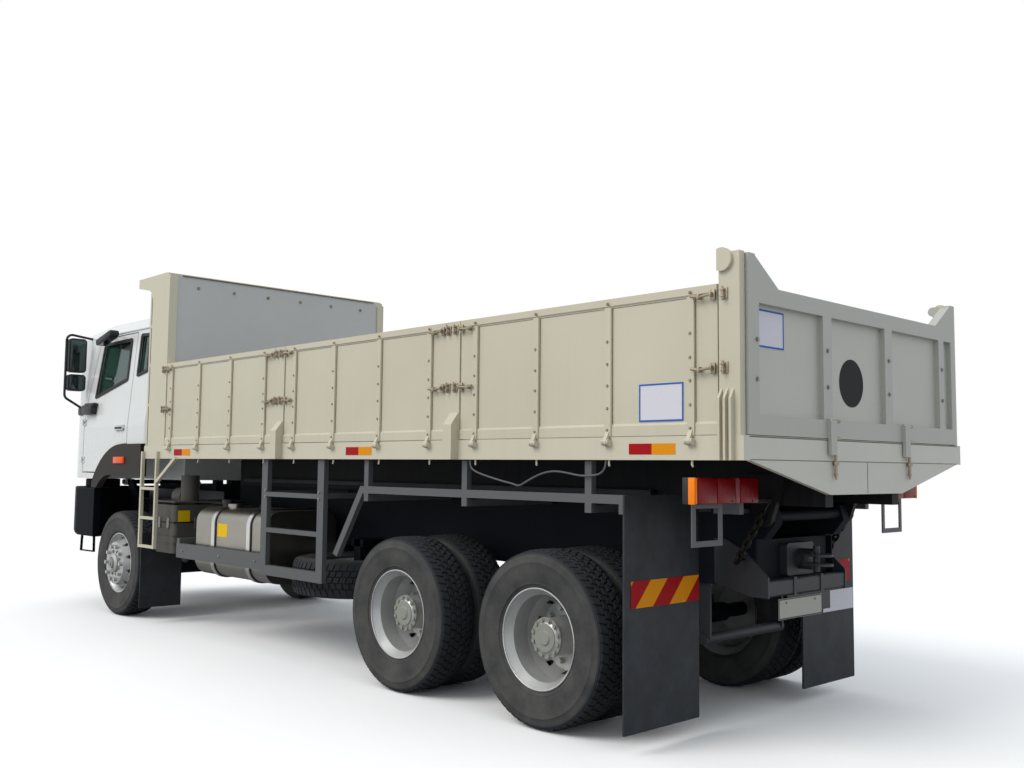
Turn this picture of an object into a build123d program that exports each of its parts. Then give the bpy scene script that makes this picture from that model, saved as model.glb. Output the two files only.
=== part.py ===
from build123d import *

import os
from math import hypot, pi, radians, tan

# Three-axle dropside tipper truck, in millimetres.
# +X is forward, +Y is the left side, +Z is up; the wheels stand on Z = 0.

os.makedirs("parts", exist_ok=True)

LEFT = 1
RIGHT = -1
SIDES = {"left": LEFT, "right": RIGHT}

# ---------------------------------------------------------------- driving sizes
tail_x = -4576.0  # rear face of the load body
gap = 6.0  # between panels that move past each other
running = 0.5  # radial play of a pin in its eye

# Wheels
tyre_radius = 522.0
tyre_width = 290.0
tyre_bead_radius = 292.0
tyre_shoulder = 34.0
tyre_bulge = 16.0
rim_width = 238.0
rim_radius = 298.0
rim_wall = 9.0
twin_spacing = 335.0
rear_outer_y = 1086.0  # middle of the outer rear tyre
front_wheel_y = 1034.0
wheel_z = tyre_radius
rear_axle_x = tail_x + 1460.0
bogie_spacing = 1352.0
forward_axle_x = rear_axle_x + bogie_spacing
front_axle_x = tail_x + 7500.0
stud_count = 10
vent_count = 10
spindle_radius = 48.0
kingpin_y = 850.0
kingpin_radius = 24.0

# Chassis
rail_y = 385.0  # middle of each chassis rail
rail_width = 80.0
rail_wall = 10.0
rail_bottom_z = 850.0
rail_top_z = 1130.0
frame_rear_x = tail_x + 470.0
frame_front_x = tail_x + 8860.0
subframe_top_z = 1325.0
subframe_front_x = tail_x + 6400.0

# Load body
half_width = 1250.0
side_thickness = 50.0
rave_bottom_z = 1572.0
floor_z = 1695.0
floor_plate = 8.0
wear_plate = 3.0  # replaceable sheet on the load floor
wear_plate_margin = 30.0
side_top_z = 2465.0
post_length = 149.0
post_top_z = 2620.0
pillar_length = 138.0
panel_length = 1992.0
head_rear_x = tail_x + 6366.0
head_front_x = tail_x + 6722.0
body_front_x = tail_x + 6790.0
head_top_z = 3345.0
rest_gap = 0.4  # where one piece rests on another
runner_bottom_z = subframe_top_z + rest_gap
runner_y = rail_y
tip_x = tail_x + 400.0
tip_z = 1262.0
tip_pin_radius = 32.0
apron_drop_z = 1394.0
apron_half_base = 420.0

# Cab
cab_rear_x = tail_x + 6872.0
cab_front_x = tail_x + 9100.0
cab_half_width = 1205.0
cab_floor_z = 1362.0
cab_wall = 45.0
cab_roof_z = 3060.0
arch_top_z = 1720.0
cab_pivot_x = tail_x + 9060.0
cab_pivot_z = 1310.0
cab_pivot_radius = 26.0
cab_lug_y = 450.0

# Tipping cylinder, shut
ram_base_x = tail_x + 3900.0
ram_base_z = 990.0
ram_eye_x = tail_x + 2300.0
ram_eye_z = 1420.0
ram_pin_radius = 30.0
barrel_radius = 95.0
barrel_eye_half = 50.0
rod_radius = 60.0
rod_eye_half = rod_radius
ram_eye_radius = 64.0

bumper_front_x = tail_x + 9165.0
bumper_top_z = 1262.0
bumper_bottom_z = 752.0


def finish(builder, name):
    """Label a finished piece and write it under its node's name."""
    builder.part.label = name
    export_step(builder.part, "parts/" + name + ".step")


def across(y):
    """A plane that faces the left side, at the given Y; its axes are X and Z."""
    return Plane.XZ.offset(-y)


def along(x):
    """A plane that faces forward, at the given X; its axes are Y and Z."""
    return Plane.YZ.offset(x)


# ================================================================ wheels
def wheel_plane(x, y):
    """Radius along local X and the axle's direction along local Y."""
    return Plane(origin=(x, y, wheel_z), x_dir=(1, 0, 0), z_dir=(0, 0, 1))


def axle_axis(x, y=0):
    return Axis((x, y, wheel_z), (0, 1, 0))


def tyre_profile():
    """Half section of a tyre, radius against width, as a closed outline."""
    half = tyre_width / 2
    bead = rim_width / 2 - 14
    flank = (tyre_bead_radius + tyre_radius) / 2
    right = [
        (tyre_bead_radius, bead),
        (flank, half),
        (tyre_radius - tyre_shoulder, half - 4),
        (tyre_radius, half - tyre_bulge - 12),
    ]
    return right + [(r, -w) for r, w in reversed(right)]


def ring_section(plane, outline):
    """The closed section that is turned into a tyre, rim or hub."""
    with BuildSketch(plane) as section:
        with BuildLine():
            Polyline(*outline, close=True)
        make_face()
    return section.sketch


def rim_barrel():
    """Barrel and flanges of a rim, radius against width from its middle."""
    half = rim_width / 2
    well = rim_radius - 34
    return [
        (rim_radius, half),
        (rim_radius, half - rim_wall),
        (tyre_bead_radius - 3, half - 16),
        (well, half - 60),
        (well, -half + 60),
        (tyre_bead_radius - 3, -half + 16),
        (rim_radius, -half + rim_wall),
        (rim_radius, -half),
        (well - rim_wall, -half + 52),
        (well - rim_wall, half - 52),
    ]


def wheel_face(x, y, side):
    """A plane square to the axle that looks outwards."""
    return Plane(origin=(x, y, wheel_z), x_dir=(1, 0, 0), z_dir=(0, side, 0))


front_disc_wall = 14.0
front_hub_radius = 92.0
disc_root_radius = rim_radius - 40
nut_circle = 168.0
nut_radius = 20.0
nut_height = 32.0
vent_radius = 21.0
front_face = 40.0  # how far the front disc stands out past the rim's edge

for side_name, side in SIDES.items():
    y = side * front_wheel_y
    with BuildPart() as front_tyre:
        revolve(ring_section(wheel_plane(front_axle_x, y), tyre_profile()), axis=axle_axis(front_axle_x))
    finish(front_tyre, "front_tyre_" + side_name)

    lip = rim_width / 2
    with BuildPart() as front_rim:
        rim_plane = wheel_plane(front_axle_x, y)
        revolve(ring_section(rim_plane, rim_barrel()), axis=axle_axis(front_axle_x))
        crown = lip + front_face
        disc = [
            (disc_root_radius, side * (lip - 70)),
            (disc_root_radius, side * (lip - 90)),
            (nut_circle + 34, side * (crown - front_disc_wall)),
            (spindle_radius + running, side * (crown - front_disc_wall)),
            (spindle_radius + running, side * (crown + 20)),
            (front_hub_radius - 30, side * (crown + 34)),
            (front_hub_radius, side * (crown + 20)),
            (front_hub_radius, side * crown),
            (nut_circle + 40, side * crown),
        ]
        revolve(ring_section(rim_plane, disc), axis=axle_axis(front_axle_x))
        hub = [
            (spindle_radius + running, side * (crown - front_disc_wall)),
            (spindle_radius + running, side * (-20)),
            (front_hub_radius + 20, side * (-20)),
            (front_hub_radius + 20, side * (crown - front_disc_wall)),
        ]
        revolve(ring_section(rim_plane, hub), axis=axle_axis(front_axle_x))
        with BuildSketch(wheel_face(front_axle_x, y + side * crown, side)):
            with PolarLocations(nut_circle, stud_count):
                RegularPolygon(nut_radius, 6)
        extrude(amount=nut_height)
        with BuildSketch(wheel_face(front_axle_x, y + side * (lip - 20), side)):
            with PolarLocations(nut_circle + 68, vent_count, start_angle=18):
                Circle(vent_radius)
        extrude(amount=80, both=True, mode=Mode.SUBTRACT)
    finish(front_rim, "front_rim_" + side_name)

rear_hub_radius = 118.0
rear_hub_reach = 54.0  # the hub cap's face, outwards of the outer rim's middle

for axle_name, axle_x in (("rear", rear_axle_x), ("forward", forward_axle_x)):
    for side_name, side in SIDES.items():
        y = side * rear_outer_y
        inner_y = side * (rear_outer_y - twin_spacing)
        with BuildPart() as tyres:
            for tyre_y in (y, inner_y):
                revolve(ring_section(wheel_plane(axle_x, tyre_y), tyre_profile()), axis=axle_axis(axle_x))
        finish(tyres, axle_name + "_tyres_" + side_name)

        meeting = -twin_spacing / 2
        with BuildPart() as rims:
            rim_plane = wheel_plane(axle_x, y)
            for barrel_y in (y, inner_y):
                revolve(ring_section(wheel_plane(axle_x, barrel_y), rim_barrel()), axis=axle_axis(axle_x))
            disc = [
                (disc_root_radius, side * -45),
                (disc_root_radius, side * -65),
                (nut_circle + 52, side * (meeting - 14)),
                (disc_root_radius, side * (meeting * 2 + 65)),
                (disc_root_radius, side * (meeting * 2 + 45)),
                (nut_circle + 30, side * (meeting - 20)),
                (spindle_radius + running, side * (meeting - 20)),
                (spindle_radius + running, side * (meeting + 20)),
                (nut_circle + 46, side * (meeting + 20)),
            ]
            revolve(ring_section(rim_plane, disc), axis=axle_axis(axle_x))
            hub = [
                (spindle_radius + running, side * (meeting - 20)),
                (spindle_radius + running, side * (rear_hub_reach - 18)),
                (0, side * (rear_hub_reach - 18)),
                (0, side * rear_hub_reach),
                (rear_hub_radius - 34, side * rear_hub_reach),
                (rear_hub_radius - 12, side * (rear_hub_reach - 16)),
                (rear_hub_radius, side * (meeting + 60)),
                (rear_hub_radius, side * (meeting - 20)),
            ]
            revolve(ring_section(rim_plane, hub), axis=axle_axis(axle_x))
            with BuildSketch(wheel_face(axle_x, y + side * (meeting + 20), side)):
                with PolarLocations(nut_circle, stud_count):
                    RegularPolygon(nut_radius, 6)
            extrude(amount=nut_height)
            with BuildSketch(wheel_face(axle_x, y + side * (meeting + 20), side)):
                with PolarLocations(nut_circle + 66, vent_count, start_angle=18):
                    Circle(vent_radius)
            extrude(amount=40, both=True, mode=Mode.SUBTRACT)
        finish(rims, axle_name + "_rims_" + side_name)

# ================================================================ axles and steering
beam_height = 110.0
beam_width = 90.0
axle_tube_radius = 66.0
yoke_gap = 0.4
yoke_thickness = 34.0
spring_y = rail_y + 15.0

with BuildPart() as front_axle:
    with BuildSketch(along(front_axle_x)):
        with BuildLine():
            Polyline(
                (-kingpin_y, wheel_z - beam_height / 2),
                (-640, wheel_z - beam_height / 2),
                (-500, wheel_z - beam_height - 30),
                (500, wheel_z - beam_height - 30),
                (640, wheel_z - beam_height / 2),
                (kingpin_y, wheel_z - beam_height / 2),
                (kingpin_y, wheel_z + beam_height / 2),
                (600, wheel_z + beam_height / 2),
                (460, wheel_z - 40),
                (-460, wheel_z - 40),
                (-600, wheel_z + beam_height / 2),
                (-kingpin_y, wheel_z + beam_height / 2),
                close=True,
            )
        make_face()
    extrude(amount=beam_width / 2, both=True)
    for side in SIDES.values():
        with BuildSketch(Plane.XY.offset(wheel_z - beam_height / 2)):
            with Locations((front_axle_x, side * kingpin_y)):
                Circle(beam_width / 2)
        extrude(amount=beam_height)
        with BuildSketch(Plane.XY.offset(wheel_z - beam_height / 2 - yoke_thickness)):
            with Locations((front_axle_x, side * kingpin_y)):
                Circle(kingpin_radius)
        extrude(amount=beam_height + 2 * yoke_thickness)
finish(front_axle, "front_axle")

for side_name, side in SIDES.items():
    with BuildPart() as knuckle:
        # Upper and lower lugs round the kingpin, joined by the upright
        yoke_reach = beam_height / 2 + yoke_gap
        for lug_z in (wheel_z - yoke_reach - yoke_thickness, wheel_z + yoke_reach):
            with BuildSketch(Plane.XY.offset(lug_z)):
                with Locations((front_axle_x, side * kingpin_y)):
                    Circle(beam_width / 2)
                with Locations((front_axle_x, side * (kingpin_y + 35))):
                    Rectangle(beam_width, 70)
                with Locations((front_axle_x, side * kingpin_y)):
                    Circle(kingpin_radius + running, mode=Mode.SUBTRACT)
            extrude(amount=yoke_thickness)
        with BuildSketch(across(side * (kingpin_y + beam_width / 2 + 3))):
            with Locations((front_axle_x, wheel_z)):
                Rectangle(beam_width, beam_height + 2 * yoke_thickness + 2 * yoke_gap)
        extrude(amount=-side * 28)
        with BuildSketch(across(side * (kingpin_y + beam_width / 2 + 20))):
            with Locations((front_axle_x, wheel_z)):
                Circle(spindle_radius)
        extrude(amount=-side * (front_wheel_y + lip + 30 - kingpin_y - beam_width / 2 - 20))
        # Steering arm, back to the track rod
        with BuildSketch(Plane.XY.offset(wheel_z - beam_height / 2 - yoke_gap - yoke_thickness)):
            with BuildLine():
                Polyline(
                    (front_axle_x - 30, side * (kingpin_y - 20)),
                    (front_axle_x - 30, side * (kingpin_y + 40)),
                    (front_axle_x - 250, side * (kingpin_y - 20)),
                    (front_axle_x - 250, side * (kingpin_y - 60)),
                    close=True,
                )
            make_face()
            with Locations((front_axle_x, side * kingpin_y)):
                Circle(kingpin_radius + running, mode=Mode.SUBTRACT)
        extrude(amount=22)
    finish(knuckle, "knuckle_" + side_name)

diff_radius = 215.0

with BuildPart() as rear_axles:
    for axle_x in (rear_axle_x, forward_axle_x):
        with BuildSketch(Plane.XZ):
            with Locations((axle_x, wheel_z)):
                Circle(axle_tube_radius)
        extrude(amount=rear_outer_y - twin_spacing - rim_width / 2 + 30, both=True)
        with BuildSketch(Plane.XZ):
            with Locations((axle_x, wheel_z)):
                Circle(spindle_radius)
        extrude(amount=rear_outer_y + rear_hub_reach - 30, both=True)
        with Locations((axle_x, 0, wheel_z)):
            Sphere(diff_radius)
        with BuildSketch(along(axle_x)):
            with Locations((0, wheel_z + 40)):
                Circle(90)
        extrude(amount=330)
finish(rear_axles, "rear_axles")

# Leaf packs: a tapering stack seen from the side
with BuildPart() as springs:
    for side in SIDES.values():
        with BuildSketch(across(side * spring_y + 40)):
            # front pack, eye to eye, and its clamp on the beam
            with BuildLine():
                Polyline(
                    (front_axle_x - 800, 760),
                    (front_axle_x - 100, 640),
                    (front_axle_x + 100, 640),
                    (front_axle_x + 740, 760),
                    (front_axle_x + 740, 740),
                    (front_axle_x + 160, wheel_z + 57),
                    (front_axle_x + 60, wheel_z - 40),
                    (front_axle_x - 60, wheel_z - 40),
                    (front_axle_x - 160, wheel_z + 57),
                    (front_axle_x - 800, 740),
                    close=True,
                )
            make_face()
            for hanger_x in (front_axle_x - 800, front_axle_x + 740):
                with Locations((hanger_x, rail_bottom_z - 60)):
                    Rectangle(60, 120)
        extrude(amount=80)
        # bogie pack, pivoting on its trunnion between the axles
        trunnion_x = rear_axle_x + bogie_spacing / 2
        with BuildSketch(across(side * spring_y + 45)):
            with BuildLine():
                Polyline(
                    (trunnion_x - 690, 690),
                    (trunnion_x - 120, 800),
                    (trunnion_x + 120, 800),
                    (trunnion_x + 690, 690),
                    (trunnion_x + 690, 640),
                    (trunnion_x + 120, 620),
                    (trunnion_x - 120, 620),
                    (trunnion_x - 690, 640),
                    close=True,
                )
            make_face()
            with Locations((trunnion_x, rail_bottom_z - 115)):
                Rectangle(200, 230)
            for pad_x in (rear_axle_x, forward_axle_x):
                with Locations((pad_x, wheel_z + axle_tube_radius + 38)):
                    Rectangle(150, 76)
        extrude(amount=90)
finish(springs, "springs")

# ================================================================ chassis
end_member_x = tail_x + 490.0
crossmember_x = [tail_x + n for n in (1150, 2120, 4000, 4900, 6250, 8700)]
crossmember_length = 60.0
crossmember_bottom_z = 960.0
tip_shaft_y = 470.0
ram_lug = 20.0
cab_rest_x = tail_x + 6940.0
cab_bracket = 40.0

with BuildPart() as chassis_frame:
    with BuildSketch(along(frame_rear_x)):
        for side in SIDES.values():
            with Locations((side * rail_y, (rail_bottom_z + rail_top_z) / 2)):
                Rectangle(rail_width, rail_top_z - rail_bottom_z)
            with Locations((side * (rail_y - rail_wall), (rail_bottom_z + rail_top_z) / 2)):
                Rectangle(rail_width, rail_top_z - rail_bottom_z - 2 * rail_wall, mode=Mode.SUBTRACT)
    extrude(amount=frame_front_x - frame_rear_x)
    # Subframe under the tipping body
    with BuildSketch(along(frame_rear_x)):
        for side in SIDES.values():
            with Locations((side * rail_y, (rail_top_z + subframe_top_z) / 2)):
                Rectangle(rail_width, subframe_top_z - rail_top_z)
    extrude(amount=subframe_front_x - frame_rear_x)
    with BuildSketch(along(end_member_x)):
        with Locations((0, (rail_bottom_z + rail_top_z) / 2)):
            Rectangle(2 * rail_y - rail_wall, rail_top_z - rail_bottom_z - 2 * rail_wall)
    extrude(amount=crossmember_length)
    for x in crossmember_x:
        with BuildSketch(along(x)):
            with Locations((0, (crossmember_bottom_z + rail_top_z - rail_wall) / 2)):
                Rectangle(2 * rail_y - rail_wall, rail_top_z - rail_wall - crossmember_bottom_z)
        extrude(amount=crossmember_length)
    # Shaft that the body tips on, through the ends of the subframe
    with BuildSketch(Plane.XZ):
        with Locations((tip_x, tip_z)):
            Circle(tip_pin_radius)
    extrude(amount=tip_shaft_y, both=True)
    for side in SIDES.values():
        with BuildSketch(across(side * rail_y + rail_width / 2)):
            with BuildLine():
                Polyline(
                    (tip_x - 55, tip_z - 40),
                    (tip_x - 30, tip_z + 50),
                    (tip_x + 30, tip_z + 50),
                    (frame_rear_x + 60, subframe_top_z),
                    (frame_rear_x + 60, rail_top_z),
                    (tip_x + 20, rail_top_z),
                    close=True,
                )
            make_face()
        extrude(amount=rail_width)
    # Lugs and pin at the foot of the tipping cylinder
    for side in SIDES.values():
        with BuildSketch(across(side * (barrel_eye_half + gap))):
            with BuildLine():
                Polyline(
                    (ram_base_x, ram_base_z - 50),
                    (ram_base_x + 100, crossmember_bottom_z),
                    (ram_base_x + 100, ram_base_z + 70),
                    (ram_base_x, ram_base_z + 50),
                    close=True,
                )
            make_face()
            with Locations((ram_base_x, ram_base_z)):
                Circle(50)
        extrude(amount=-side * ram_lug)
    with BuildSketch(Plane.XZ):
        with Locations((ram_base_x, ram_base_z)):
            Circle(ram_pin_radius)
    extrude(amount=barrel_eye_half + gap + ram_lug, both=True)
    # Brackets and tube that the cab tilts on, and its rests at the back
    for side in SIDES.values():
        with BuildSketch(across(side * (rail_y + rail_width / 2))):
            with BuildLine():
                Polyline(
                    (frame_front_x - 160, rail_top_z),
                    (frame_front_x, rail_top_z),
                    (cab_pivot_x - 28, cab_pivot_z - 78),
                    (cab_pivot_x - 28, cab_pivot_z + 34),
                    (cab_pivot_x - 100, cab_pivot_z + 34),
                    close=True,
                )
            make_face()
            with Locations((cab_pivot_x, cab_pivot_z)):
                Circle(38)
        extrude(amount=side * cab_bracket)
        with BuildSketch(Plane.XY.offset(rail_top_z)):
            with Locations((cab_rest_x, side * rail_y)):
                Rectangle(80, rail_width)
        extrude(amount=cab_floor_z - rest_gap - rail_top_z)
    with BuildSketch(Plane.XZ):
        with Locations((cab_pivot_x, cab_pivot_z)):
            Circle(cab_pivot_radius)
    extrude(amount=cab_lug_y + 30, both=True)
finish(chassis_frame, "chassis_frame")

engine_rear_x = tail_x + 7120.0
engine_front_x = tail_x + 8420.0
gearbox_rear_x = tail_x + 6310.0

with BuildPart() as engine_block:
    with BuildSketch(along(engine_rear_x)):
        with BuildLine():
            Polyline(
                (-210, 700),
                (210, 700),
                (320, 1000),
                (320, 1300),
                (-320, 1300),
                (-320, 1000),
                close=True,
            )
        make_face()
    extrude(amount=engine_front_x - engine_rear_x)
    with BuildSketch(along(gearbox_rear_x)):
        with Locations((0, 910)):
            Rectangle(380, 380)
        fillet(vertices(), radius=60)
    extrude(amount=engine_rear_x - gearbox_rear_x)
finish(engine_block, "engine_block")

shaft_radius = 55.0
pinion_z = wheel_z + 40
pinion_reach = 330.0
shaft_tilt_room = 6.0  # keeps a sloping shaft's square end off what it meets
shaft_ends = (
    ((gearbox_rear_x - shaft_tilt_room, 880), (forward_axle_x + pinion_reach + shaft_tilt_room, pinion_z)),
    ((forward_axle_x - diff_radius - running, pinion_z), (rear_axle_x + pinion_reach, pinion_z)),
)
with BuildPart() as propshafts:
    for (start_x, start_z), (end_x, end_z) in shaft_ends:
        start = Vector(start_x, 0, start_z)
        run = Vector(end_x, 0, end_z) - start
        with BuildSketch(Plane(origin=start, z_dir=run)):
            Circle(shaft_radius)
        extrude(amount=run.length)
finish(propshafts, "propshafts")

nose_start_x = tail_x + 8530.0  # where the cab and the bumper begin to narrow
nose_taper = 0.36  # how much each side draws in per length
nose_blend = 250.0  # radius where the sides begin to draw in


def nose_plan(rear_x, front_x, half):
    """Plan outline with parallel sides that draw in towards the front."""
    nose_half = half - (front_x - nose_start_x) * nose_taper
    return [
        (rear_x, -half),
        (nose_start_x, -half),
        (front_x, -nose_half),
        (front_x, nose_half),
        (nose_start_x, half),
        (rear_x, half),
    ]


# Front bumper: a shell with rounded corners that runs back along both sides
bumper_rear_x = tail_x + 8045.0
bumper_half_width = cab_half_width + 10.0
bumper_corner = 120.0
step_z = 590.0

with BuildPart() as front_bumper:
    with BuildSketch(Plane.XY.offset(bumper_bottom_z)):
        with BuildLine():
            Polyline(
                *nose_plan(bumper_rear_x, bumper_front_x, bumper_half_width),
                (bumper_rear_x, cab_half_width - 60),
                (bumper_rear_x + 70, 1000),
                (bumper_rear_x + 500, 880),
                (bumper_front_x - 120, 880),
                (bumper_front_x - 120, -880),
                (bumper_rear_x + 500, -880),
                (bumper_rear_x + 70, -1000),
                (bumper_rear_x, -cab_half_width + 60),
                close=True,
            )
        make_face()
        fillet(vertices().group_by(Axis.X)[-1], radius=bumper_corner)
        fillet(vertices().filter_by(lambda v: abs(v.X - nose_start_x) < 1), radius=nose_blend)
    extrude(amount=bumper_top_z - bumper_bottom_z)
    chamfer(edges().group_by(Axis.Z)[0], length=25)
    chamfer(edges().group_by(Axis.Z)[-1], length=12)
    # Brackets back to the chassis rails
    for side in SIDES.values():
        with BuildSketch(along(frame_front_x - 60)):
            with Locations((side * (rail_y + rail_width / 2 + 10), 930)):
                Rectangle(20, 160)
        extrude(amount=bumper_front_x - 120 - frame_front_x + 60)
    # Step loops hung under the bumper's sides
    for side in SIDES.values():
        with BuildSketch(across(side * (cab_half_width - 40) + 12)):
            with BuildLine():
                Polyline(
                    (bumper_rear_x + 75, bumper_bottom_z + 60),
                    (bumper_rear_x + 65, step_z),
                    (bumper_rear_x + 420, step_z - 5),
                    (bumper_rear_x + 400, bumper_bottom_z + 60),
                )
                offset(amount=12, side=Side.LEFT)
            make_face()
        extrude(amount=24)
finish(front_bumper, "front_bumper")

lamp_width = 320.0
lamp_middle_y = 720.0

with BuildPart() as head_lamps:
    for side in SIDES.values():
        with BuildSketch(along(bumper_front_x + 0.5)):
            with Locations((side * lamp_middle_y, 1010)):
                Rectangle(lamp_width, 150)
            fillet(vertices(), radius=40)
        extrude(amount=12)
finish(head_lamps, "head_lamps")

# ---------------------------------------------------------------- side equipment
rail_outer_y = rail_y + rail_width / 2
tank_rear_x = tail_x + 4645.0
tank_front_x = tail_x + 5860.0
tank_top_z = 1140.0
tank_bottom_z = 545.0
tank_outer_y = 1150.0
tank_inner_y = 470.0
tank_corner = 130.0
tank_y = (tank_outer_y + tank_inner_y) / 2
tank_z = (tank_top_z + tank_bottom_z) / 2
strap_x = [tail_x + n for n in (4920, 5530)]
strap_width = 60.0
strap_thickness = 8.0

with BuildPart() as fuel_tank:
    with BuildSketch(along(tank_rear_x)):
        with Locations((tank_y, tank_z)):
            RectangleRounded(tank_outer_y - tank_inner_y, tank_top_z - tank_bottom_z, tank_corner)
    extrude(amount=tank_front_x - tank_rear_x)
    # Straps, and the brackets that carry the tank on the chassis rail
    for x in strap_x:
        with BuildSketch(along(x - strap_width / 2)):
            with Locations((tank_y, tank_z)):
                RectangleRounded(
                    tank_outer_y - tank_inner_y + 2 * strap_thickness,
                    tank_top_z - tank_bottom_z + 2 * strap_thickness,
                    tank_corner + strap_thickness,
                )
            with Locations(((tank_inner_y + rail_outer_y) / 2, 930)):
                Rectangle(tank_inner_y - rail_outer_y, 150)
        extrude(amount=strap_width)
    with BuildSketch(Plane.XY.offset(tank_top_z)):
        with Locations((tail_x + 5500, tank_outer_y - 180)):
            Circle(60)
    extrude(amount=36)
finish(fuel_tank, "fuel_tank")

box_rear_x = tail_x + 6310.0
box_front_x = tail_x + 6700.0
box_bottom_z = 690.0
box_top_z = 1140.0
box_y = 890.0
box_width = 520.0
with BuildPart() as battery_box:
    # Battery box on its bracket, with the upright can and the lying filter on its lid
    with BuildSketch(Plane.XY.offset(box_bottom_z)):
        with Locations(((box_rear_x + box_front_x) / 2, box_y)):
            RectangleRounded(box_front_x - box_rear_x, box_width, 40)
    extrude(amount=box_top_z - box_bottom_z)
    with BuildSketch(along(box_rear_x + 80)):
        with Locations(((rail_outer_y + box_y - box_width / 2) / 2, 930)):
            Rectangle(box_y - box_width / 2 - rail_outer_y, 120)
    extrude(amount=200)
    with BuildSketch(Plane.XY.offset(box_top_z)):
        with Locations((box_rear_x + 120, 940)):
            Circle(85)
    extrude(amount=275)
    with BuildSketch(along(box_rear_x + 215)):
        with Locations((920, box_top_z + 75)):
            Circle(80)
    extrude(amount=170)
finish(battery_box, "battery_box")

spare_x = tail_x + 4100.0
spare_y = 620.0
spare_z = 650.0
spare_disc = 20.0
with BuildPart() as spare_wheel:
    # Lying flat under the left chassis rail, hung from a bracket on it
    spare_plane = Plane(origin=(spare_x, spare_y, spare_z), x_dir=(1, 0, 0), z_dir=(0, -1, 0))
    spare_axis = Axis((spare_x, spare_y, spare_z), (0, 0, 1))
    revolve(ring_section(spare_plane, tyre_profile()), axis=spare_axis)
    revolve(ring_section(spare_plane, rim_barrel()), axis=spare_axis)
    with BuildSketch(Plane.XY.offset(spare_z)):
        with Locations((spare_x, spare_y)):
            Circle(disc_root_radius + 1)
            with PolarLocations(nut_circle + 50, vent_count):
                Circle(vent_radius, mode=Mode.SUBTRACT)
    extrude(amount=spare_disc)
    with BuildSketch(Plane.XY.offset(spare_z + spare_disc)):
        with Locations((spare_x, rail_outer_y + 135)):
            Rectangle(90, 150)
    extrude(amount=260)
    with BuildSketch(Plane.XY.offset(rail_bottom_z + 20)):
        with Locations((spare_x, rail_outer_y + 105)):
            Rectangle(160, 210)
    extrude(amount=60)
finish(spare_wheel, "spare_wheel")

guard_y = 1200.0
guard_bar = 40.0  # width of the guards' bars, across the truck
guard_rear_x = tail_x + 4610.0
guard_front_x = tail_x + 6100.0
frame_rear_post_x = tail_x + 3760.0
frame_front_post_x = tail_x + 4575.0
post_reach_z = rave_bottom_z - 7
arm_z = 1295.0
guard_inner_y = guard_y - guard_bar / 2
arm_run = guard_inner_y - rail_outer_y
guard_arm_y = (guard_inner_y + rail_outer_y) / 2
with BuildPart() as side_guards:
    for side in SIDES.values():
        # Low guard rail, carried at its front end from the chassis rail
        with BuildSketch(along(guard_rear_x)):
            with Locations((side * guard_y, 741)):
                Rectangle(guard_bar, 128)
        extrude(amount=guard_front_x - guard_rear_x)
        with BuildSketch(along(guard_front_x - 60)):
            with Locations((side * guard_arm_y, 830)):
                Rectangle(arm_run, 40)
            with Locations((side * guard_y, 820)):
                Rectangle(guard_bar, 60)
            with Locations((side * (rail_outer_y + 15), 880)):
                Rectangle(30, 140)
        extrude(amount=50)
        # Ladder-like frame behind it: two posts, two rungs and a bottom bar
        with BuildSketch(across(side * guard_inner_y)):
            for post_x, post_bottom_z in ((frame_front_post_x, 645), (frame_rear_post_x, 645)):
                with Locations((post_x, (post_bottom_z + post_reach_z) / 2)):
                    Rectangle(85, post_reach_z - post_bottom_z)
            for rung_z, rung_height in ((1290, 36), (1005, 36), (685, 80)):
                with Locations(((frame_front_post_x + frame_rear_post_x) / 2, rung_z)):
                    Rectangle(frame_front_post_x - frame_rear_post_x, rung_height)
        extrude(amount=-side * guard_bar)
        for x in (frame_rear_post_x, frame_front_post_x):
            with BuildSketch(along(x - 25)):
                with Locations((side * guard_arm_y, arm_z)):
                    Rectangle(arm_run, guard_bar)
            extrude(amount=50)
finish(side_guards, "side_guards")

# Mudguard bars over the bogie, on arms from the subframe
bar_y = 1195.0
bar_width = 40.0
bar_inner_y = bar_y - bar_width / 2
bar_rear_x = tail_x + 780.0
bar_front_x = tail_x + 3256.0
bar_carriers = [tail_x + n for n in (1056, 2120, 3185)]
with BuildPart() as mudguards:
    for side in SIDES.values():
        with BuildSketch(across(side * bar_inner_y)):
            with BuildLine():
                Polyline(
                    (bar_rear_x, 1380),
                    (bar_front_x, 1380),
                    (bar_front_x + 330, 880),
                    (bar_front_x + 280, 860),
                    (bar_front_x - 30, 1330),
                    (bar_rear_x, 1330),
                    close=True,
                )
            make_face()
            for x in bar_carriers:
                with Locations((x, (arm_z - 20 + post_reach_z) / 2)):
                    Rectangle(50, post_reach_z - arm_z + 20)
        extrude(amount=-side * bar_width)
        for x in [bar_rear_x + 25] + bar_carriers:
            with BuildSketch(along(x - 25)):
                with Locations((side * (rail_outer_y + bar_inner_y + 10) / 2, arm_z)):
                    Rectangle(bar_inner_y + 10 - rail_outer_y, 40)
            extrude(amount=50)
        with BuildSketch(across(side * bar_inner_y)):
            with Locations((bar_rear_x + 25, arm_z + 20)):
                Rectangle(50, 80)
        extrude(amount=-side * bar_width)
finish(mudguards, "mudguards")

flap_thickness = 12.0
with BuildPart() as mud_flaps:
    for side in SIDES.values():
        with BuildSketch(along(bar_rear_x - flap_thickness)):
            with Locations((side * 905, 740)):
                Rectangle(670, 1280)
        extrude(amount=flap_thickness)
        with BuildSketch(along(front_axle_x - 650 - flap_thickness)):
            with Locations((side * 1010, 500)):
                Rectangle(420, 720)
        extrude(amount=flap_thickness)
        with BuildSketch(along(front_axle_x - 650 - flap_thickness)):
            with Locations((side * 780, 880)):
                Rectangle(2 * (780 - rail_y - rail_width / 2), 40)
        extrude(amount=flap_thickness)
finish(mud_flaps, "mud_flaps")

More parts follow.
